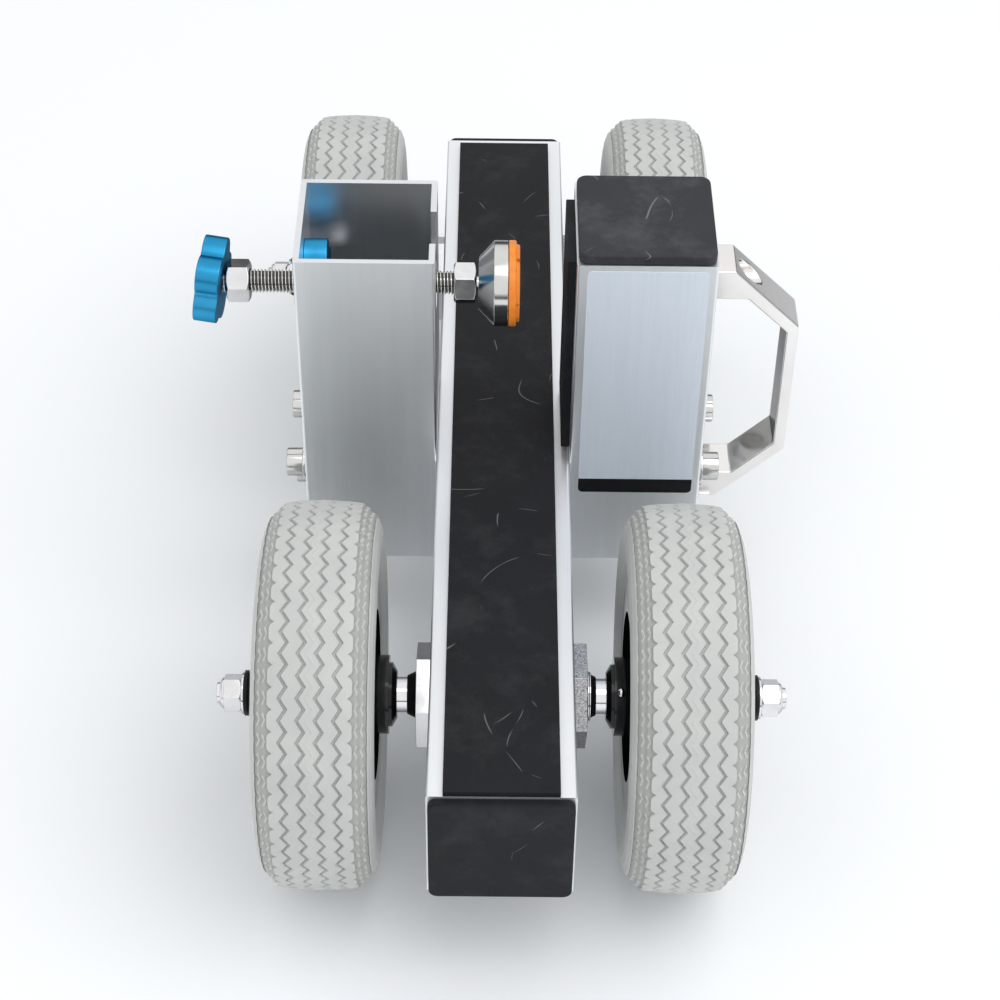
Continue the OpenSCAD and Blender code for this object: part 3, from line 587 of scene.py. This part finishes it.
def buildTyres():
    t = tyreSizes
    pattern = addObject("tyrePattern", tyreSegment(t))
    repeat(pattern, t["pitches"], (0.0, 0.0, 0.0), -2 * math.pi / t["pitches"], skins["tyre"])
    faceOutwards(pattern.data)
    markSharp(pattern.data, t["sharp"])
    for number, wheel in enumerate(wheelNames):
        low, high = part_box(wheel + "_tyre")
        mesh = pattern.data.copy()
        turn = Matrix.Rotation(t["turnBetween"] * number, 4, "X")
        mesh.transform(Matrix.Translation((low + high) / 2) @ turn)
        end, side = wheel.split("_")
        piece = addObject(end + side.capitalize() + "Tread", mesh)
        finishPiece(piece, wheel + "_wheel", skins["tyre"], [wheel + "_tyre"])
    bpy.data.objects.remove(pattern)
    print("tyres: tread of", t["pitches"], "pitches")


buildTyres()


# Clamp

screwSizes = {
    "y": -6.0, "z": 260.5, "start": -175.4, "end": -16.6, "pitch": 2.0, "crest": 6.95, "root": 5.75,
    "profile": ((0.0, "root"), (0.12, "root"), (0.44, "crest"), (0.62, "crest"), (0.94, "root"),
                (1.0, "root")),
    "steps": 48, "plainTurns": 2, "lead": 0.2, "sharp": 28, "chamfer": 0.9, "gap": 0.05,
    "neck": 4.0, "ball": 6.0, "ballAt": -8.5, "ballSteps": 16,
}


def threadTurn(s):
    # one turn of the thread, which marks painted shade at its root for the material
    bm = bmesh.new()
    paintedShade = bm.verts.layers.float.new("paintedShade")
    grid = []
    for i in range(s["steps"] + 1):
        angle = 2 * math.pi * i / s["steps"]
        start = s["pitch"] * i / s["steps"]
        row = []
        for share, place in s["profile"]:
            r = s[place]
            x = (start + share * s["pitch"]) * mm
            vert = bm.verts.new((x, r * mm * math.cos(angle), r * mm * math.sin(angle)))
            vert[paintedShade] = (s["crest"] - r) / (s["crest"] - s["root"])
            row.append(vert)
        grid.append(row)
    for one, two in zip(grid, grid[1:]):
        for i in range(len(one) - 1):
            bm.faces.new((one[i], one[i + 1], two[i + 1], two[i]))
    return toMesh(bm, "threadTurn")


def screwCore(s):
    # the plain core, the neck and the ball
    neckAngle = math.asin(s["neck"] / s["ball"])
    ball = []
    for i in range(s["ballSteps"] + 1):
        angle = neckAngle + (math.pi - neckAngle) * i / s["ballSteps"]
        ball.append((s["ballAt"] - s["ball"] * math.cos(angle), s["ball"] * math.sin(angle)))
    cut = s["chamfer"]
    full = s["root"] - s["gap"]
    outline = [(s["start"], 0), (s["start"], s["root"] - cut), (s["start"] + cut, full),
               (s["end"] - cut, full), (s["end"], s["root"] - cut), (s["end"], s["neck"])] + ball
    outline[-1] = (outline[-1][0], 0)
    bm = bmesh.new()
    lathe(bm, [(x * mm, r * mm) for x, r in outline], (s["y"] * mm, s["z"] * mm))
    return meshFrom("clampCore", bm)


def buildScrew():
    s = screwSizes
    turns = round((s["end"] - s["start"]) / s["pitch"]) - s["plainTurns"]
    thread = addObject("clampThread", threadTurn(s))
    repeat(thread, turns, (s["pitch"] * mm, 0.0, 0.0), 0.0, metals["threads"])
    faceOutwards(thread.data, closeEnds=True)
    thread.data.transform(Matrix.Translation(((s["start"] + s["lead"]) * mm, s["y"] * mm, s["z"] * mm)))
    markSharp(thread.data, s["sharp"])
    finishPiece(screwCore(s), "screw", metals["chrome"])
    finishPiece(thread, "screw", metals["threads"], ["clamp_screw"])
    print("screw:", turns, "turns")


buildScrew()

starSizes = {
    "across": 52.0, "thick": 13.7, "lobe": 11.0, "hollow": 4.6, "lobes": 5, "lobeSteps": 14,
    "hollowSteps": 8, "bore": 7.1, "edge": 0.7, "axis": (-6.0, 260.5),
    "nutMiddle": -109.65, "nutTurn": -69.0,
    "knobMiddle": -170.65, "knobTurn": 61.0, "lean": 8.0, "leanWay": 47.0,
}


def starOutline(s):
    # round lobes with hollows between them that meet them without a corner, from +Y towards +Z
    half = math.pi / s["lobes"]
    lobeAt = s["across"] / 2 - s["lobe"]
    reach = s["lobe"] + s["hollow"]
    hollowAt = lobeAt * math.cos(half) + math.sqrt(reach ** 2 - (lobeAt * math.sin(half)) ** 2)
    turn = math.atan2(hollowAt * math.sin(half), hollowAt * math.cos(half) - lobeAt)
    points = []
    for i in range(s["lobes"]):
        lobe = (2 * i * half, lobeAt, s["lobe"], -turn, turn, s["lobeSteps"], 0)
        # a hollow leaves out its end points, which the lobes beside it have
        hollow = ((2 * i + 1) * half, hollowAt, s["hollow"], math.pi + turn - half, math.pi - turn + half,
                  s["hollowSteps"], 1)
        for middle, at, radius, first, last, steps, skip in (lobe, hollow):
            for k in range(skip, steps + 1 - skip):
                angle = middle + first + (last - first) * k / steps
                points.append((at * math.cos(middle) + radius * math.cos(angle),
                               at * math.sin(middle) + radius * math.sin(angle)))
    return points


def buildStar(name, place, bore):
    s = starSizes
    points = starOutline(s)
    bm = bmesh.new()
    rings = []
    for x in (-s["thick"] / 2, s["thick"] / 2):
        rings.append([bm.verts.new((x, y, z)) for y, z in points])
        if bore:
            inside = [(bore * y / math.hypot(y, z), bore * z / math.hypot(y, z)) for y, z in points]
            rings.append([bm.verts.new((x, y, z)) for y, z in inside])
    if bore:
        pairs = ((0, 1), (1, 3), (3, 2), (2, 0))
    else:
        pairs = ((0, 1),)
        bm.faces.new(rings[0])
        bm.faces.new(rings[1])
    for one, two in pairs:
        joinRows(bm, rings[one], rings[two])
    bm.transform(Matrix.Scale(mm, 4) @ place)
    return roundEdges(meshFrom(name, bm), s["edge"], segments=3)


def turnBy(degrees, axis):
    return Matrix.Rotation(math.radians(degrees), 4, axis)


def buildStars():
    s = starSizes
    y, z = s["axis"]
    # the knob leans a little on its screw
    knob = (Matrix.Translation((s["knobMiddle"], y, z)) @ turnBy(s["leanWay"], "X")
            @ turnBy(-s["lean"], "Z") @ turnBy(s["knobTurn"] - s["leanWay"], "X"))
    nut = Matrix.Translation((s["nutMiddle"], y, z)) @ turnBy(s["nutTurn"], "X")
    for name, place, bore, body, cadName in (("starKnob", knob, 0, "screw", "clamp_knob"),
                                             ("starNut", nut, s["bore"], "frame", "thrust_star_nut")):
        finishPiece(buildStar(name, place, bore), body, metals["blue"], [cadName])


# insets are measured in from the pad's radius
padSizes = {
    "start": 1.6, "radius": 25.0, "thick": 6.7, "back": 4.7, "base": 0.5, "baseInset": 2.0, "edge": 0.6,
    "faceInsets": (2.2, 2.7, 3.0), "faceEdge": 0.3, "groove": (14.5, 16.5, 1.8), "steps": 180,
    "notches": 5, "notchAt": -38.0, "notchHalf": 0.9, "near": 0.1,
}


def buildFootFace():
    # the rubber face: a raised disc with a ring groove and notches across it
    p = padSizes
    r, back, thick, near = p["radius"], p["back"], p["thick"], p["near"]
    inner, outer, deep = p["groove"]
    low, side, top = p["faceInsets"]
    outline = [(0, 0), (0, r - p["baseInset"]), (p["base"], r - p["baseInset"]), (p["base"], r),
               (back - p["edge"], r), (back, r - p["edge"]), (back, r - low),
               (thick - p["faceEdge"], r - side), (thick, r - top), (thick, outer),
               (thick - deep, outer), (thick - deep, inner), (thick, inner), (thick, 0)]
    bm = bmesh.new()
    lathe(bm, outline, (0, 0), p["steps"])
    for vert in bm.verts:
        x, y, z = vert.co
        away = math.hypot(y, z)
        share = (math.degrees(math.atan2(z, y)) - p["notchAt"]) * p["notches"] / 360 % 1
        beside = min(share, 1 - share) * 2 * math.pi / p["notches"] * away
        if x > back + near and away > outer - near and beside < p["notchHalf"]:
            vert.co.x = back
    y, z = starSizes["axis"]
    bm.transform(Matrix.Scale(mm, 4) @ Matrix.Translation((p["start"], y, z)))
    piece = meshFrom("footFace", bm, degrees=30)
    finishPiece(piece, "foot", skins["orange"], ["foot_pad"])


clampSizes = {
    "edge": 0.35, "nutMiddle": -161.7, "nutGrowth": 13.4 / 13.0, "stopShift": (0.0, 2.09, -1.36),
}


def knobNutPlace(p):
    middle = clampSizes["nutMiddle"]
    return Vector(((p.x - middle) * clampSizes["nutGrowth"] + middle, p.y, p.z))


def stopPlace(p):
    return p + Vector(clampSizes["stopShift"])


buildStars()
buildFootFace()
for name, body, material, cadName, segments, place in (
        ("knobJamNut", "screw", "chrome", "knob_jam_nut", 2, knobNutPlace),
        ("footJamNut", "screw", "chrome", "foot_jam_nut", 2, None),
        ("footCup", "foot", "turned", "foot_cup", 3, None),
        ("stopHead", "frame", "steel", "stop_bolt", 2, stopPlace),
        ("stopLockNut", "frame", "chrome", "stop_nut", 2, stopPlace)):
    softCopy(name, body, metals[material], [cadName], clampSizes["edge"], segments,
             place=place)
print("clamp pieces done")


# Frame

handleSizes = {
    "reach": 53.0, "height": 176.0, "foot": 13.0, "leg": 20.0, "arm": 8.0, "grip": 7.0, "width": 27.0,
    "post": 120.0, "low": 100.0, "edge": 1.0, "seat": 5.0, "headRadius": 6.9, "holeRadius": 4.5,
    "screwShift": -7.0, "screwHead": 131.9, "screwEdge": 0.4,
}


def handleScrewPlace(p):
    # the screws' heads sit deeper than on the solids
    shift = handleSizes["screwShift"] if p.x > handleSizes["screwHead"] else 0.0
    return Vector((p.x + shift, p.y, p.z))


def handleHoles(h):
    # counterbored holes for the two screws, from a millimetre inside the post's face
    seat = h["post"] + h["seat"]
    start = h["post"] - 1
    end = seat + h["reach"]
    profile = [(start, 0), (start, h["holeRadius"]), (seat, h["holeRadius"]), (seat, h["headRadius"]),
               (end, h["headRadius"]), (end, 0)]
    bm = bmesh.new()
    for z in (h["low"] + h["leg"] / 2, h["low"] + h["height"] - h["leg"] / 2):
        lathe(bm, [(x * mm, r * mm) for x, r in profile], (0.0, z * mm))
    return meshFrom("handleHoles", bm)


def buildHandle():
    h = handleSizes
    arm = h["reach"] - h["foot"]
    window = h["reach"] - h["grip"]
    inner = h["foot"] - h["arm"] * math.sqrt(2)
    outside = [(0, 0), (h["foot"], 0), (h["reach"], arm)]
    inside = [(window, window - inner), (inner + h["leg"], h["leg"]), (0, h["leg"])]
    upperHalf = [(x, h["height"] - z) for x, z in outside[::-1] + inside[::-1]]
    outline = [((h["post"] + x) * mm, (h["low"] + z) * mm) for x, z in outside + upperHalf + inside]
    half = h["width"] / 2
    bm = bmesh.new()
    near, far = [[bm.verts.new((x, y * mm, z)) for x, z in outline] for y in (-half, half)]
    bm.faces.new(near)
    bm.faces.new(far)
    joinRows(bm, near, far)
    piece = meshFrom("handleCasting", bm)
    cutter = handleHoles(h)
    cut = piece.modifiers.new("holes", "BOOLEAN")
    cut.operation = "DIFFERENCE"
    cut.solver = "EXACT"
    cut.object = cutter
    bake(piece)
    bpy.data.objects.remove(cutter)
    roundEdges(piece, h["edge"], segments=3, degrees=50)
    finishPiece(piece, "frame", metals["polished"], ["handle"])
    softCopy("handleBolts", "frame", metals["chrome"], ["handle_screws"], h["screwEdge"],
             place=handleScrewPlace)


buildHandle()
for name, material, cadName, width, segments in (
        ("frontEndCap", "strip", "front_end_pad", 0.8, 3),
        ("rearEndCap", "strip", "rear_end_pad", 0.8, 3),
        ("postCap", "cap", "right_post_cap", 1.0, 3),
        ("beamStrip", "strip", "beam_top_pad", 0.5, 2),
        ("jawFace", "strip", "jaw_pad", 0.6, 2)):
    softCopy(name, "frame", skins[material], [cadName], width, segments)

# apart and rows are the places on the solids and the finished ones; the rest is growth beyond a radius
boltSizes = {
    "apart": (22.5, 27.0), "rows": ((82.0, 82.5), (138.0, 137.5)), "middle": 110.0,
    "head": (1.075, 6.0), "washer": (1.2, 8.0),
}


def boltPlace(p, grow, beyond):
    # moves a post bolt or washer to its place, and widens it beyond a radius
    oldZ, newZ = boltSizes["rows"][0 if p.z < boltSizes["middle"] else 1]
    oldY, newY = (math.copysign(y, p.y) for y in boltSizes["apart"])
    wide = grow if math.hypot(p.y - oldY, p.z - oldZ) > beyond else 1.0
    return Vector((p.x, newY + (p.y - oldY) * wide, newZ + (p.z - oldZ) * wide))


# places along the axle's end on the solids, and the finished pieces' places, from the hub outwards
axleStops = ((0.0, 0.0), (143.2, 143.2), (146.4, 145.6), (148.4, 147.0), (157.4, 157.0), (162.6, 161.4))
stopSlack = 0.01


def axlePlace(p):
    for (a, b), (c, d) in zip(axleStops, axleStops[1:]):
        if abs(p.x) <= c + stopSlack:
            return Vector((math.copysign(b + (abs(p.x) - a) * (d - b) / (c - a), p.x), p.y, p.z))
    return p


for name, slot, material, cadName, width, place in (
        ("postScrews", "bright_plating", metals["turned"], "post_bolts", 0.7,
         lambda p: boltPlace(p, *boltSizes["head"])),
        ("postWashers", "plain_steel", metals["chrome"], "bolt_washers", 0.25,
         lambda p: boltPlace(p, *boltSizes["washer"])),
        ("axleLockNuts", "bright_plating", metals["chrome"], "axle_nuts", 0.35, axlePlace),
        ("axleRings", "bright_plating", metals["chrome"], "axle_washers", 0.3, axlePlace),
        ("axleCushions", "black_rubber", skins["seal"], "axle_buffers", 0.5, axlePlace),
        ("frontAxleBar", "bright_plating", metals["chrome"], "front_axle", 0.5, axlePlace),
        ("rearAxleBar", "bright_plating", metals["chrome"], "rear_axle", 0.5, axlePlace)):
    softCopy(name, "frame", material, [cadName], width, place=place)

housingNutSizes = {
    "inner": 40.0, "outer": 48.0, "across": 52.5, "edge": 0.3, "axle": (192.5, 110.0),
    "sides": (("leftHousingNuts", -1, -88.0, "chrome"), ("rightHousingNuts", 1, -67.0, "castNut")),
}


def buildHousingNuts():
    # flat hexagons against the beam; the left ones are plated smooth, the right ones rough castings
    n = housingNutSizes
    y, z = n["axle"]
    radius = n["across"] / 2 / math.cos(math.pi / 6) * mm
    for name, side, turn, material in n["sides"]:
        near, far = side * n["inner"] * mm, side * n["outer"] * mm
        outline = [(near, 0), (near, radius), (far, radius), (far, 0)]
        bm = bmesh.new()
        for end in (-y, y):
            lathe(bm, outline, (end * mm, z * mm), steps=6, turn=math.radians(turn))
        piece = roundEdges(meshFrom(name, bm), n["edge"])
        finishPiece(piece, "frame", metals[material], ["housing_nuts"])


buildHousingNuts()


def cadMaterial(material, *names):
    for name in names:
        piece = nodes[name]
        if not piece.material_slots:
            piece.data.materials.append(material)
        for place in piece.material_slots:
            place.link = "OBJECT"
            place.material = material


cadMaterial(metals["postTube"], "left_post", "right_post")
cadMaterial(metals["beamTube"], "main_beam", "anchor_block")
cadMaterial(metals["steel"], "post_sleeves", "bearing_inner_rings", "bearing_spacers",
            "front_axle_housing", "rear_axle_housing")
cadMaterial(metals["bronze"], "rod_guide")
cadMaterial(skins["seal"], "axle_seals")
cadMaterial(skins["nylon"], "socket_liner", "socket_ring")
for wheel in wheelNames:
    cadMaterial(skins["blackPaint"], wheel + "_rim")
    cadMaterial(skins["blackPlastic"], wheel + "_dust_caps")
    cadMaterial(metals["steel"], wheel + "_bearings")

plateSizes = {
    "left": 46.0, "right": 115.0, "low": 127.0, "high": 296.0, "band": 138.0, "corner": 3.0,
    "cornerSteps": 8, "face": -40.0, "thick": 0.3,
}


def roundedPlate(name, low, high, corners):
    # a thin plate on a face that looks towards -Y; corners are the radii at the lower and upper ends
    p = plateSizes
    outline = []
    for x, z, radius, start in ((p["right"], low, corners[0], -90), (p["right"], high, corners[1], 0),
                                (p["left"], high, corners[1], 90), (p["left"], low, corners[0], 180)):
        inX = x - radius if x == p["right"] else x + radius
        inZ = z + radius if z == low else z - radius
        steps = p["cornerSteps"] if radius > 0 else 0
        for i in range(steps + 1):
            angle = math.radians(start + (90 * i / steps if steps else 0))
            outline.append((inX + radius * math.cos(angle), inZ + radius * math.sin(angle)))
    bm = bmesh.new()
    front = [bm.verts.new((x * mm, (p["face"] - p["thick"]) * mm, z * mm)) for x, z in outline]
    back = [bm.verts.new((x * mm, p["face"] * mm, z * mm)) for x, z in outline]
    bm.faces.new(front)
    bm.faces.new(back[::-1])
    joinRows(bm, front, back)
    return meshFrom(name, bm)


def buildPlate():
    p = plateSizes
    plate = roundedPlate("barePlate", p["band"], p["high"], (0.0, p["corner"]))
    finishPiece(plate, "frame", metals["plate"])
    band = roundedPlate("plateBand", p["low"], p["band"], (p["corner"], 0.0))
    finishPiece(band, "frame", skins["bandInk"])


buildPlate()

trimSizes = {
    "axle": (-192.5, 110.0),
    "ringAt": (48.2, 49.1, 50.0), "ringHalf": 0.35, "ringRadius": 14.0, "ringEdge": (0.15, 0.3),
    "nipple": ((0.0, 0), (0.0, 2.2), (1.4, 2.2), (2.2, 1.3), (3.0, 1.5), (3.6, 1.0), (3.8, 0)),
    "nippleAt": (67.0, 22.4, 53.0),  # along the axle, out from it, degrees round it
    "nubAt": (80.0, -39.2, 301.6), "nubSize": (2.4, 1.2, 2.6), "nubEdge": 0.4,
}


def buildSealRings():
    # thin rings behind the right seals
    t = trimSizes
    half, r = t["ringHalf"], t["ringRadius"]
    edgeX, edgeR = t["ringEdge"]
    for name, y in (("frontSealRings", t["axle"][0]), ("rearSealRings", -t["axle"][0])):
        bm = bmesh.new()
        for x in t["ringAt"]:
            outline = [(x - half, 0), (x - half, r - edgeR), (x - half + edgeX, r), (x + half - edgeX, r),
                       (x + half, r - edgeR), (x + half, 0)]
            lathe(bm, [(a * mm, b * mm) for a, b in outline], (y * mm, t["axle"][1] * mm))
        finishPiece(meshFrom(name, bm, degrees=30), "frame", metals["chrome"])


def buildNipple():
    # grease nipple on the front right hub
    t = trimSizes
    bm = bmesh.new()
    lathe(bm, [(a * mm, b * mm) for a, b in t["nipple"]], (0, 0), steps=24)
    x, away, angle = t["nippleAt"]
    turn = math.radians(angle)
    outwards = Vector((0, -math.cos(turn), math.sin(turn)))
    place = Vector((x, t["axle"][0], t["axle"][1])) + outwards * away
    aim = outwards.to_track_quat("X", "Z").to_matrix().to_4x4()
    bm.transform(Matrix.Translation(place * mm) @ aim)
    piece = meshFrom("greaseNipple", bm, degrees=30)
    finishPiece(piece, "front_right_wheel", metals["chrome"])


def buildNub():
    # moulding nub on the post cap's front edge
    t = trimSizes
    bm = bmesh.new()
    bmesh.ops.create_cube(bm, size=1.0)
    size = Matrix.Diagonal(Vector(t["nubSize"]) * mm).to_4x4()
    bm.transform(Matrix.Translation(Vector(t["nubAt"]) * mm) @ size)
    bmesh.ops.bevel(bm, geom=bm.edges[:], offset=t["nubEdge"] * mm, segments=2, affect="EDGES")
    finishPiece(meshFrom("capNub", bm), "frame", skins["cap"])


buildSealRings()
buildNipple()
buildNub()
print("frame pieces done")


# Room, light and camera

# the room's places and sizes are in metres
roomSettings = {
    "floorColour": (0.945, 0.955, 0.965, 1), "floorHalf": 2.4, "floorLevel": -0.0002, "floorRoughness": 0.7,
    "floorSpecular": 0.1, "skyColour": (0.97, 0.985, 1, 1), "skyDiffuse": 0.90,
    "horizon": ((0.22, 0.15), (0.26, 0.5), (0.31, 0.6), (0.35, 1.0)), "horizonLow": 0.10,
    "horizonTilt": (0.3, -0.6, 0.2),
    "lampPower": 17.0, "lampSize": 1.8, "lampPlace": (0.8, -0.6, 2.1), "lampAim": (0, 0, 0.1),
}


def grey(value):
    return (value, value, value, 1)


def buildFloor():
    r = roomSettings
    half = r["floorHalf"]
    corners = ((-half, -half), (half, -half), (half, half), (-half, half))
    bm = bmesh.new()
    bm.faces.new([bm.verts.new((x, y, r["floorLevel"])) for x, y in corners])
    floor = addObject("studioFloor", toMesh(bm, "studioFloor"))
    material, tree, shader = newMaterial("paleFloor")
    shader.inputs["Base Color"].default_value = r["floorColour"]
    shader.inputs["Roughness"].default_value = r["floorRoughness"]
    shader.inputs["Specular IOR Level"].default_value = r["floorSpecular"]
    floor.data.materials.append(material)


def buildSky():
    r = roomSettings
    world = bpy.data.worlds.new("studio")
    bpy.context.scene.world = world
    world.use_nodes = True
    tree = world.node_tree
    tree.nodes.clear()
    rays = addNode(tree, "ShaderNodeLightPath").outputs
    shown = addNode(tree, "ShaderNodeBackground", {"Color": grey(1), "Strength": 1.0})
    soft = addNode(tree, "ShaderNodeBackground", {"Color": r["skyColour"], "Strength": r["skyDiffuse"]})
    # polished metal sees a dark horizon under a bright sky, higher behind the cart than in front of it
    direction = addNode(tree, "ShaderNodeTexCoord").outputs["Generated"]
    parts = addNode(tree, "ShaderNodeSeparateXYZ", {0: direction}).outputs
    behind, inFront, rise = r["horizonTilt"]
    height = math2(tree, "ADD", parts["Z"], spread(tree, parts["Y"], behind, inFront, 0.0, rise))
    ramp = addNode(tree, "ShaderNodeValToRGB", {"Fac": height})
    stops = ramp.color_ramp.elements
    stops[0].position = 0.0
    stops[0].color = grey(r["horizonLow"])
    stops[1].position = 1.0
    stops[1].color = grey(1)
    for place, value in r["horizon"]:
        stops.new(place).color = grey(value)
    bright = addNode(tree, "ShaderNodeBackground", {"Color": ramp.outputs["Color"], "Strength": 1.0})
    gloss = mixShaders(tree, rays["Is Glossy Ray"], soft.outputs[0], bright.outputs[0])
    seen = math2(tree, "MAXIMUM", rays["Is Camera Ray"], rays["Is Transmission Ray"])
    output = addNode(tree, "ShaderNodeOutputWorld")
    tree.links.new(mixShaders(tree, seen, gloss, shown.outputs[0]), output.inputs["Surface"])


def buildLamp():
    r = roomSettings
    lamp = bpy.data.lights.new("softLamp", "AREA")
    lamp.energy = r["lampPower"]
    lamp.size = r["lampSize"]
    holder = bpy.data.objects.new("softLamp", lamp)
    holder.location = r["lampPlace"]
    holder.rotation_mode = "QUATERNION"
    holder.rotation_quaternion = (Vector(r["lampAim"]) - holder.location).to_track_quat("-Z", "Y")
    bpy.context.scene.collection.objects.link(holder)


buildFloor()
buildSky()
buildLamp()

cameraSettings = {
    "focalPixels": 2329.268, "imagePixels": 1000.0, "sensor": 36.0, "pitch": 0.75395, "yaw": 0.00689,
    "roll": 0.01496, "place": (-8.596, -1081.869, 1097.446),
}


def buildCamera():
    c = cameraSettings
    cosP, sinP = math.cos(c["pitch"]), math.sin(c["pitch"])
    cosY, sinY = math.cos(c["yaw"]), math.sin(c["yaw"])
    cosR, sinR = math.cos(c["roll"]), math.sin(c["roll"])
    ahead = Vector((sinY * cosP, cosY * cosP, -sinP))
    flat = Vector((cosY, -sinY, 0.0))
    upright = flat.cross(ahead)
    across = cosR * flat + sinR * upright
    up = -sinR * flat + cosR * upright
    camera = bpy.data.cameras.new("photoCamera")
    camera.sensor_width = c["sensor"]
    camera.lens = c["focalPixels"] * camera.sensor_width / c["imagePixels"]
    holder = bpy.data.objects.new("photoCamera", camera)
    turn = Matrix((across, up, -ahead)).transposed().to_4x4()
    holder.matrix_world = Matrix.Translation(Vector(c["place"]) * mm) @ turn
    bpy.context.scene.collection.objects.link(holder)
    bpy.context.scene.camera = holder


buildCamera()
bpy.context.scene.view_settings.view_transform = "Standard"
print("room and camera done")
